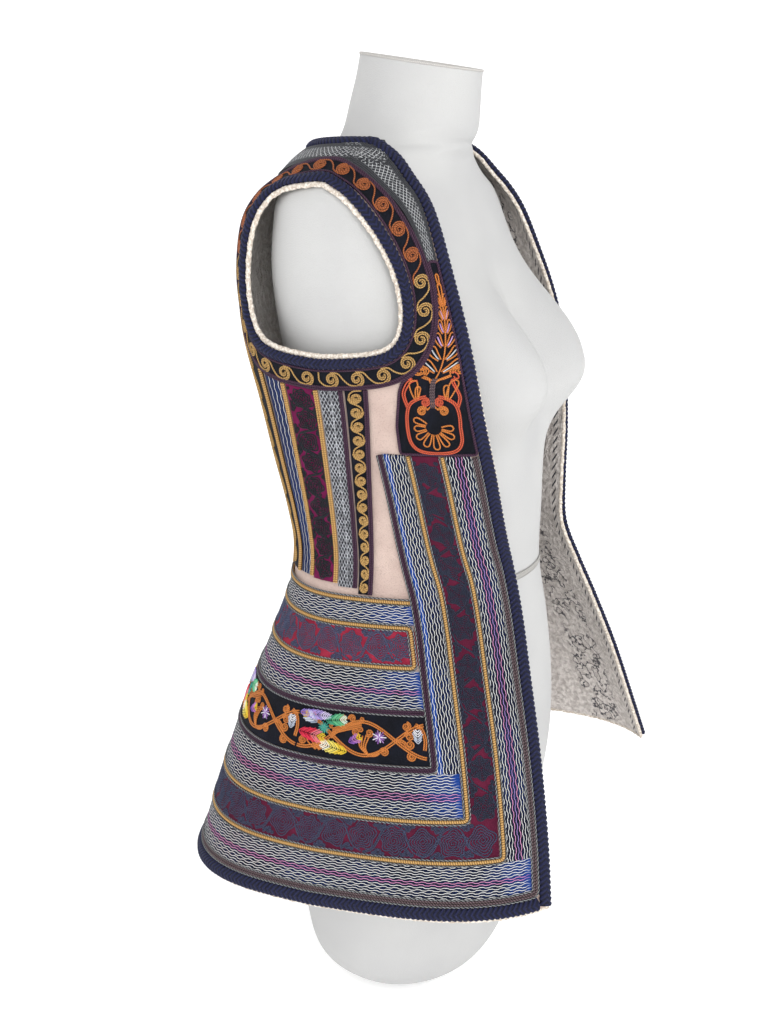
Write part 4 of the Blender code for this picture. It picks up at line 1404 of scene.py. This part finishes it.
# %% [markdown]
# ## Scrolls round the armhole and under the arm
# A running scroll is one long cord: it winds out of a middle, leaves over the top
# and swings down to the foot of the next scroll. The cord is laid double where it
# winds and single where it swings. Near the shoulder the scrolls are wound tight
# until they are nearly filled discs.

# %% Running scrolls
def twin(curve, gap):
    """Two curves beside a drawn one."""
    x, y = (np.asarray(part, float) for part in curve)
    dx, dy = np.gradient(x), np.gradient(y)
    size = np.maximum(np.hypot(dx, dy), 1e-12)
    return [(x + side * gap * dy / size, y - side * gap * dx / size) for side in (-1, 1)]


def running_scroll(x, y, radius, pitch, turns, hand=1):
    """Winding and tail of one scroll; hand -1 turns it upside down."""
    turn = np.pi / 2 + 2 * np.pi * turns * np.linspace(1, 0, round(turns * 24))
    away = radius * (0.16 + 0.84 * np.linspace(0, 1, len(turn)))
    winding = x + away * np.cos(turn), y + hand * away * np.sin(turn)
    tail = smooth_line([
        (x, y + hand * radius), (x + 0.30 * pitch, y + hand * 0.80 * radius),
        (x + 0.52 * pitch, y + hand * 0.05 * radius),
        (x + 0.70 * pitch, y - hand * 0.80 * radius), (x + pitch, y - hand * radius),
    ], 8)
    return winding, tail


arm_heights = raised(ARM_STRIP, ARM_STRIP["along"], 0.0, 0.0)[0][:, 2]
scroll_count = 25
scroll_pitch = arm_length / scroll_count
loose, tight = [], []
for index in range(scroll_count):
    x = (index + 0.5) * scroll_pitch
    high = np.interp(x, ARM_STRIP["along"], arm_heights) > 0.750
    radius = 0.0064 if not high else 0.0060
    winding, tail = running_scroll(x, arm_width / 2, radius, scroll_pitch, 1.9 if high else 1.35)
    group = tight if high else loose
    group.extend(twin(winding, 0.00080))
    group.append(tail)
under_scroll = UNDERARM_STRIPS["scroll"]
under_loose = []
under_count = round(under_scroll["along"][-1] / 0.0135)
under_pitch = under_scroll["along"][-1] / under_count
for index in range(under_count):
    x, y = (index + 0.5) * under_pitch, under_scroll["across"][-1] / 2
    winding, tail = running_scroll(x, y, 0.0047, under_pitch, 1.45, 1 if index % 2 else -1)
    under_loose.extend(twin(winding, 0.0006))
    under_loose.append(tail)
back_loose = []
back_count = round(BACK_STRIP["along"][-1] / 0.024)
back_pitch = BACK_STRIP["along"][-1] / back_count
for index in range(back_count):
    x, y = (index + 0.5) * back_pitch, BACK_STRIP["across"][-1] / 2
    winding, tail = running_scroll(x, y, 0.0078, back_pitch, 1.9, 1 if index % 2 else -1)
    back_loose.extend(twin(winding, 0.0008))
    back_loose.append(tail)
for side, label in SIDES:
    tubes = tubes_on(ARM_STRIP, loose, 0.00072, side) + tubes_on(under_scroll, under_loose, 0.00075, side)
    tubes += tubes_on(BACK_STRIP, back_loose, 0.00085, side)
    ochre = cord_mesh(f"ochre_scrolls_{label}", tubes, OCHRE)
    cord_mesh(f"shoulder_scrolls_{label}", tubes_on(ARM_STRIP, tight, 0.00070, side), RUST)
print("scrolls round each armhole:", scroll_count, "faces", len(ochre.data.polygons))

# %% [markdown]
# ## The chest motif
# The chest panel carries the coat's finest work: a round palmette in a red arch with
# a leafy stem growing out of it. It is drawn in millimetres from its own axis, which
# leans with the panel, and each line of the drawing becomes a couched cord.

# %% Loops, curls and leaves
def loop(x, y, lean, inner, outer, half):
    """A narrow petal from one distance to another, at an angle in degrees."""
    waist = inner + 0.35 * (outer - inner)
    shape = [(inner, -0.35 * half), (waist, -0.75 * half), (outer - 0.8 * half, -half), (outer, 0.0),
             (outer - 0.8 * half, half), (waist, 0.75 * half), (inner, 0.35 * half)]
    c, s = np.cos(np.radians(lean)), np.sin(np.radians(lean))
    return smooth_line([(x + a * c - b * s, y + a * s + b * c) for a, b in shape], 6)


def curl(x, y, radius, hand=1, start=0.0, turns=1.4):
    """A small volute; start is the angle in degrees where it opens."""
    turn = np.radians(start) - hand * 2 * np.pi * turns * np.linspace(1, 0, round(turns * 22))
    away = radius * (0.18 + 0.82 * np.linspace(0, 1, len(turn)))
    return x + away * np.cos(turn), y + away * np.sin(turn)


chest_edges = on_vest(CHEST_STRIP["angle"], CHEST_STRIP["t"], WALL)[0]
chest_local = np.linalg.norm(np.diff(chest_edges, axis=1), axis=-1).sum(axis=1)
chest_width = CHEST_STRIP["across"][-1]
print("chest panel width by height, mm:", (chest_local[::20] * 1000).round(1).tolist())


def on_chest(curve):
    """From millimetres beside the panel's axis and above its foot to the chest strip."""
    x, y = (np.asarray(part, float) * 0.001 for part in curve)
    local = np.interp(y, CHEST_STRIP["along"], chest_local)
    tight = np.where(y > 0.070, np.clip((local - 0.0020) / 0.0185, 0.5, 1.3), 1.0)
    return y, chest_width / 2 + x * tight * chest_width / local


def line(*points):
    return smooth_line(points, 9)


arch = line((-5, 54), (-12, 52), (-19, 47), (-22, 38), (-22.5, 26), (-22, 13), (-17, 5), (-7, 2), (7, 2), (17, 5),
            (22, 13), (22.5, 26), (22, 38), (19, 47), (12, 52), (5, 54))
red = twin(arch, 0.85) + twin(curl(-6, 49, 3.4, 1, 80), 0.7) + twin(curl(6, 49, 3.4, -1, 100), 0.7)
orange = [loop(0, 26, lean, 6.5, 16.5 + 4.0 * abs(np.sin(np.radians(lean))), 2.5) for lean in range(155, 386, 29)]
orange += twin(curl(-9, 41, 4.0, -1, 20), 0.7) + twin(curl(9, 41, 4.0, 1, 160), 0.7)
orange += [line((-5, 42), (-2, 45), (0, 50)), line((5, 42), (2, 45), (0, 50))]
red += [line((-22, 44), (-25, 56), (-21, 68), (-15, 71)), line((22, 44), (24, 54), (18, 66), (12, 76), (8, 77))]
red += [line((-21, 46), (-23, 56), (-19, 66), (-14, 69)), line((21, 46), (22, 55), (16, 66), (11, 73))]
orange += [loop(-13, 50, 102, 1, 19, 3.4), loop(-13, 50, 84, 1, 13, 2.0)]
orange += [loop(12, 50, 68, 1, 20, 3.6), loop(12, 50, 92, 1, 14, 2.0)]
orange += twin(curl(-12, 78, 5.0, -1, 320), 0.8) + twin(curl(13, 79, 5.4, 1, 220), 0.8)
orange += twin(line((-9, 73), (-4, 70), (-1, 66)), 0.7) + twin(line((9, 74), (4, 70), (1, 66)), 0.7)
leaf_feet = np.linspace(76, 132, 6)
for index, foot in enumerate(leaf_feet):
    reach = 17 - 0.8 * index
    orange += [loop(-1.0, foot, 132 - 3 * index, 1.5, reach, 2.7)]
    orange += [loop(1.0, foot, 48 + 3 * index, 1.5, reach, 2.7)]
orange += [line((0, 70), (0.5, 100), (0, 138)), loop(0, 138, 90, 0, 15, 3.0), loop(0, 151, 90, 0, 10, 2.4)]
stem = [line((x, 44), (x, 58), (x, 71)) for x in (-1.5, 0.0, 1.5)]
print("chest motif:", len(red), "red and", len(orange), "orange cords")


# %% Satin stitches
def satin_leaf(x, y, lean, length, half, codes, spacing=1.95):
    """A feather: pairs of slanted stitches along a rib, in millimetres."""
    c, s = np.cos(np.radians(lean)), np.sin(np.radians(lean))
    count = max(3, round(length / spacing))
    stitches = []
    for index in range(count):
        part = (index + 0.5) / count
        reach = 1.45 * half * (0.6 + 0.4 * np.sin(np.pi * part))
        reach = reach * (1.0 - 0.5 * part**3) * (1.0 - 0.12 * (index % 2))
        code = codes[min(len(codes) - 1, int(part * len(codes)))]
        for hand in (-1, 1):
            a, d, e = part * length - 0.3 * reach, part * length + 0.9 * reach, hand * reach
            spots = [(a + (d - a) * f, e * (f**0.8)) for f in (0.03, 0.35, 0.7, 1.0)]
            along, across = [x + p * c - q * s for p, q in spots], [y + p * s + q * c for p, q in spots]
            stitches.append((along, across, code))
    return stitches


def satin_star(x, y, radius, codes, rays=14):
    stitches = []
    for index in range(rays):
        turn = 2 * np.pi * index / rays
        reach = radius * (1.0 if index % 2 else 0.8)
        share = np.array([0.08, 0.4, 0.75, 1.0])
        code = codes[index % len(codes)]
        stitches.append((x + reach * share * np.cos(turn), y + reach * share * np.sin(turn), code))
    return stitches


def satin_finish():
    finish = Finish("satin stitches", 0.6, 0.0, "#ffffff", 0.3)
    colour = finish.node("ShaderNodeAttribute", attribute_name="thread_colour").outputs["Color"]
    fibre = finish.noise(900.0, detail=2.0)
    shade = finish.mix(fibre.ramp(0.5, 0.8) * 0.25, colour, "#3a3440")
    return finish.done(shade, fibre, 0.0003)


SATIN = satin_finish()


def lay_satin(name, groups, radius=0.00050):
    """One piece from groups of stitches: each has a strip, stitches, side and mapping."""
    tubes, colours = [], []
    for strip, stitches, side, mapping in groups:
        curves = [mapping((np.asarray(x), np.asarray(y))) for x, y, _ in stitches]
        tubes += tubes_on(strip, curves, radius, side, 0.0008, 0.0020, 4, 1.2)
        colours += [linear(code) for _, _, code in stitches]
    return cord_mesh(name, tubes, SATIN, colours=colours)


chest_satin = []
leaf_codes = (
    ("#d8dade", "#9aa0a8"), ("#c9ccd2", "#8f96a2"), ("#a884b8", "#c4a2cc"),
    ("#b892c0", "#8d6ca4"), ("#c48a6a", "#a884b8"), ("#c9752f", "#b8683a"),
)
for index, foot in enumerate(leaf_feet):
    for hand in (-1, 1):
        reach = 13.5 - 0.8 * index
        for place, code in ((-0.55, leaf_codes[index][0]), (0.45, leaf_codes[index][1])):
            lean = np.radians(90 + hand * (42 - 3 * index))
            px, py = hand * -1.0 + place * np.sin(lean), foot + place * np.cos(lean)
            share = np.array([0.22, 0.5, 0.8, 1.0]) * reach
            chest_satin.append((px + share * np.cos(lean), py + share * np.sin(lean), code))
for side, label in SIDES:
    for name, curves, radius, finish in (
        ("chest_red_cords", red, 0.00072, SCARLET),
        ("chest_orange_cords", orange, 0.00070, ORANGE),
        ("chest_stem", stem, 0.0009, SILVER),
    ):
        tubes = tubes_on(CHEST_STRIP, [on_chest(curve) for curve in curves], radius, side)
        cord_mesh(f"{name}_{label}", tubes, finish)
lay_satin("chest_satin", [(CHEST_STRIP, chest_satin, side, on_chest) for side in (1, -1)])
print("chest stitches:", 2 * len(chest_satin))

# %% [markdown]
# ## The flower band
# The black velvet band is worked freely: orange vines laid double cross and part
# again, and between them stand filled bars, curls, tulips, star flowers and feather
# leaves in satin stitch. One length of it is drawn once and repeated round the
# skirt, mirrored at the back as an embroiderer would work from both fronts.

# %% One length of the flower band
FLOWER = BANDS["skirt_band_flower"]
flower_length = FLOWER["along"][-1]
REPEATS = round(flower_length / 2 / 0.116)
UNIT = flower_length / 2 / REPEATS
wave_x = np.linspace(2, 116, 90)


def vine(sign):
    y = 21.5 + sign * 15.0 * np.sin(np.pi * (wave_x - 27) / 57)
    return wave_x, y


vines = twin(vine(1), 0.95) + twin(vine(-1), 0.95)
vines += twin(line((3, 14), (1.8, 24), (4, 33), (9, 37)), 0.9)
vines += twin(curl(14, 8, 3.4, 1, 60), 0.7) + twin(curl(17, 35, 3.6, -1, 100), 0.7)
vines += twin(curl(15, 19, 3.6, 1, 0), 0.8) + twin(curl(15, 26, 3.6, -1, 0), 0.8)
vines += twin(line((18, 19), (22, 22), (27, 21.5)), 0.8)
vines += twin(curl(37, 11, 3.4, -1, 30), 0.7) + twin(line((40, 12), (44, 8), (50, 7)), 0.8)
vines += [line((50, 6), (55 + i * 1.6, 14), (53 + i * 3.0, 24)) for i in (-1, 0, 1, 2)]
vines += twin(curl(50, 27, 3.2, 1, 330), 0.7) + twin(curl(62, 27, 3.2, -1, 210), 0.7)
bar = [line((57, 34 + i), (70, 30 + i), (84, 25 + i)) for i in (-2.4, -0.8, 0.8, 2.4)]
vines += bar + [curl(57, 38.5, 2.4, 1, 250), curl(58, 29.0, 2.4, -1, 90)]
vines += [curl(85, 30.0, 2.4, -1, 250), curl(83, 20.5, 2.4, 1, 90)]
vines += [loop(97, 6, 90 + lean, 1, 13, 1.7) for lean in (-48, -24, 0, 24, 48)]
vines += twin(curl(75, 37.5, 3.0, 1, 200), 0.7) + twin(curl(66, 38.5, 3.0, -1, 340), 0.7)
vines += twin(curl(111, 12, 3.2, 1, 90), 0.7) + twin(curl(103, 37, 3.2, -1, 200), 0.7)
VIOLET_SET, SUN = ["#8f78c8", "#b09adc", "#d8cdec"], ["#e8c838", "#f0e070", "#f4f0e0"]
GREEN = ["#3f9a78", "#6cc08e", "#d8ead8"]
ROSE, ICE = ["#d8304c", "#d8304c", "#e8808c", "#e8c838"], ["#9aa4b8", "#d8dce4", "#e8c838"]
flower_satin = satin_star(41, 24, 6.2, ["#a07ab8", "#e8e4f0", "#8a5aa8"])
flower_satin += satin_star(92, 27, 6.0, ["#4fae9a", "#2f8a80"])
flower_satin += satin_leaf(70, 8, 10, 24, 4.2, SUN) + satin_leaf(68, 17, 150, 12, 3.2, ["#8a5ab0", "#c080c0", "#e8c838"])
flower_satin += satin_leaf(90, 34, 172, 19, 4.2, GREEN) + satin_leaf(99, 31, 25, 13, 4.0, ICE)
flower_satin += satin_leaf(115, 20, 185, 24, 4.8, ROSE) + satin_leaf(116, 37, 178, 30, 3.4, VIOLET_SET)
flower_satin += satin_leaf(8, 20, 92, 12, 3.2, ["#b8c0d0", "#e8e8ee"])
print("one length:", len(vines), "cords and", len(flower_satin), "stitches")
print("repeated", 2 * REPEATS, "times")

# %% Lay the flower band
flower_cords, flower_groups = [], []
for index in range(REPEATS):
    for hand in (1, -1):
        def place(curve, shift=index, direction=hand):
            x = shift * UNIT + np.asarray(curve[0], float) * UNIT / 116
            x = x if direction > 0 else flower_length - x
            return x, 0.001 * np.asarray(curve[1], float)

        flower_cords += tubes_on(FLOWER, [place(curve) for curve in vines], 0.00070, step=0.0017)
        flower_groups.append((FLOWER, flower_satin, 1, place))
cords = cord_mesh("flower_band_cords", flower_cords, ORANGE)
satin = lay_satin("flower_band_satin", flower_groups)
print("flower band:", len(cords.data.polygons), "faces of cord,", len(satin.data.polygons), "of satin stitch")

# %% [markdown]
# ## The fleece at the edges
# The fleece lining stands a little past the plait, as a soft lumpy rim. It shows
# most in the armholes and as a pale line along the fronts and the hem. A cord with a
# rough relief gives the rim its lumps.

# %% Fleece rims
def fleece_relief(place, turn):
    drift = 1.3 * np.sin(2 * np.pi * place / 0.031)
    lumps = np.sin(2 * np.pi * place / 0.0068 + drift) * np.cos(turn * 2 + place * 340)
    locks = np.sin(place * 2 * np.pi / 0.0029 + turn * 3)
    return 0.20 * lumps + 0.12 * locks + 0.08 * np.sin(place * 410 + turn)


def fleece_rim(path, half_wide, half_high, closed=False):
    rings, places, length = tube(*path, half_wide, half_high, 12, 0.0013, closed, fleece_relief)
    return rings, places, length, closed


RIM_WOOL = Finish("fleece rim", 0.95, 0.5, "#fff8f0", 0.2)
rim_curl = RIM_WOOL.noise(420.0, detail=3.0)
rim_shade = RIM_WOOL.mix(rim_curl.ramp(0.35, 0.7), "#bfb2a4", "#efe8de")
RIM_WOOL = RIM_WOOL.done(rim_shade, rim_curl, 0.0012)
ring_angle, ring_row = step_sideways(arm_angle, arm_row, 0.0016, closed=True)
points, normals = on_vest(ring_angle, ring_row, 0.0016)
for side, label in SIDES:
    flip = np.array([side, 1.0, 1.0])
    rim = fleece_rim((points * flip, normals * flip), 0.0025, 0.0022, True)
    cord_mesh(f"armhole_fleece_{label}", [rim], RIM_WOOL)
edge_angle, edge_row = opening_line(3)
hem_edge = float(vest_ring(np.zeros(1))[-1][0])
hem_angle = np.linspace(hem_edge, -hem_edge, 700)
front_rim = on_vest(edge_angle, edge_row, 0.0012)
hem_rim = on_vest(hem_angle, np.zeros(700), 0.0012)
hem_rim = hem_rim[0] - [0, 0, 0.0012], hem_rim[1]
rims = [fleece_rim(path, 0.0019, 0.0017) for path in (front_rim, hem_rim)]
rim = cord_mesh("edge_fleece", rims, RIM_WOOL)
print("fleece rims:", len(rim.data.polygons), "faces on the long edges")

# %% [markdown]
# ## The dress form
# The form is a smooth padded body covered with off-white jersey. It is one closed
# skin: a grid rolled into a tube, closed down the front where its two sides meet and
# capped at the base and the neck.

# %% The form's shape
BUST_X, BUST_Z, BUST_OUT = 0.078, 0.641, 0.056
BUST_WIDE, BUST_UP, BUST_DOWN = 0.052, 0.075, 0.052
NECK_BASE_ROW, NECK_TILT = 23, 0.0085
WAIST_ROW = 10


def form_point(angle, t, out=0.0):
    height, half_width, front, back, centre, square = row_values(FORM_ROWS, t)
    x, y = ring_point(angle, half_width + out, front + out, back + out, centre, square)
    reach = np.where(height > BUST_Z, BUST_UP, BUST_DOWN)
    away = ((np.abs(x) - BUST_X) / BUST_WIDE) ** 2 + ((height - BUST_Z) / reach) ** 2
    y = y - BUST_OUT * np.exp(-(away**1.15)) * np.sqrt(np.clip(-np.cos(angle), 0, 1))
    neck = np.clip((t - NECK_BASE_ROW) / (len(FORM_ROWS) - 1 - NECK_BASE_ROW), 0, 1)
    return np.stack([x, y + SHIFT_Y, height + NECK_TILT * neck * np.cos(angle)], -1)


def build_form():
    piece, u, v = new_grid("jersey_form", 160, 208)
    angle, t = (u * 2 - 1) * np.pi, v * (len(FORM_ROWS) - 1)
    points = form_point(angle, t)
    outward = np.stack([-np.sin(angle), np.cos(angle), 0 * angle], -1)
    shape_grid(piece, points, outward)
    in_edit_mode(
        piece,
        (bpy.ops.mesh.remove_doubles, {"threshold": 1e-5}),
        (bpy.ops.mesh.fill_holes, {"sides": 0}),
        (bpy.ops.mesh.select_all, {"action": "SELECT"}),
        (bpy.ops.mesh.normals_make_consistent, {"inside": False}),
    )
    bpy.ops.object.select_all(action="DESELECT")
    piece.select_set(True)
    bpy.ops.object.shade_smooth_by_angle(angle=SMOOTH_BELOW)
    piece.data.materials.append(JERSEY)
    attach(piece, "root")
    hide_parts("dress_form")
    return piece


form = build_form()
print("form:", len(form.data.polygons), "faces, neck top", round(max(v.co.z for v in form.data.vertices), 4))

# %% Its waist tape and neck rim
# The darker second colour of the tape and rim lies in their grooves: partly their own colour, partly painted shade.
TAPE = cord_finish("waist tape", "#b6b4b0", "#a09e9a", 0.0015)
RIM = cord_finish("neck rim cord", "#cfccc8", "#b4b1ad", 0.0020)
turn = np.linspace(-np.pi, np.pi, 361)[:-1]
outward = np.stack([-np.sin(turn), np.cos(turn), 0 * turn], -1)
tape = tube(form_point(turn, np.full_like(turn, WAIST_ROW), 0.0005), outward, 0.0034, 0.0006, 6, 0.004, True)
cord_mesh("waist_line", [(*tape, True)], TAPE, ("waist_tape",))
top = np.full_like(turn, float(len(FORM_ROWS) - 1))
rim = tube(form_point(turn, top), outward, 0.0011, 0.0011, 6, 0.003, True)
cord_mesh("neck_rim", [(*rim, True)], RIM)
print("waist", round(tape[2], 3), "m round, neck", round(rim[2], 3), "m round")

# %% [markdown]
# ## Floor, light and camera
# The photograph is a plain studio picture with a white ground. The floor is a wide
# pale dish whose rim curves up like a studio's cove, so no edge of it shows from any
# side. Four large soft lights and a pale world light the coat evenly.

# %% The studio
FLOOR_SIZE, FLAT_RADIUS, RIM_RUN, RIM_RISE = 18.0, 3.5, 5.0, 6.0


def build_floor():
    piece, u, v = new_grid("studio_floor", 80, 80)
    x, y = (u - 0.5) * FLOOR_SIZE, (v - 0.5) * FLOOR_SIZE
    far = np.clip((np.hypot(x, y) - FLAT_RADIUS) / RIM_RUN, 0, 2)
    points = np.stack([x, y, RIM_RISE * far**2], -1)
    shape_grid(piece, points, np.tile([0.0, 0.0, 1.0], (len(points), 1)))
    bpy.ops.object.select_all(action="DESELECT")
    piece.select_set(True)
    bpy.ops.object.shade_smooth()
    finish = Finish("studio floor", 0.95, 0.0, specular=0.1)
    finish.shader.inputs["Base Color"].default_value = (0.93, 0.93, 0.93, 1)
    finish.shader.inputs["Emission Color"].default_value = (1.0, 1.0, 1.0, 1)
    finish.shader.inputs["Emission Strength"].default_value = 0.30
    piece.data.materials.append(finish.material)


def add_light(name, place, aim, size, power):
    bpy.ops.object.light_add(type="AREA", location=place)
    light = bpy.context.object
    light.name = name
    light.data.shape, light.data.size, light.data.energy = "DISK", size, power
    towards = Vector(aim) - Vector(place)
    light.rotation_euler = towards.to_track_quat("-Z", "Y").to_euler()


build_floor()
AIM = (0.0, 0.0, 0.5)
add_light("key light", (-2.4, -1.2, 2.2), AIM, 1.6, 22)
add_light("low light", (-2.0, -1.3, 0.95), (0.0, 0.05, 0.7), 1.4, 16)
add_light("front light", (1.2, -2.8, 1.8), AIM, 1.8, 16)
add_light("back light", (1.4, 2.6, 2.4), AIM, 1.8, 18)
world = bpy.context.scene.world or bpy.data.worlds.new("studio")
bpy.context.scene.world = world
world.use_nodes = True
world.node_tree.nodes["Background"].inputs["Color"].default_value = (1.0, 1.0, 1.0, 1)
world.node_tree.nodes["Background"].inputs["Strength"].default_value = 0.62
bpy.context.scene.view_settings.view_transform = "Standard"
print("floor, four lights and a pale world")

# %% The camera
SENSOR, FOCAL_PIXELS, PICTURE_PIXELS = 36.0, 1340, 1025
camera_turn = np.radians((73.87, 0.0, -67.0)).tolist()
bpy.ops.object.camera_add(location=(-1.2004, -0.4634, 0.8595), rotation=camera_turn)
camera = bpy.context.object
camera.data.sensor_width, camera.data.lens = SENSOR, SENSOR * FOCAL_PIXELS / PICTURE_PIXELS
camera.data.clip_start = 0.05
bpy.context.scene.camera = camera
print("lens", round(camera.data.lens, 2), "mm")
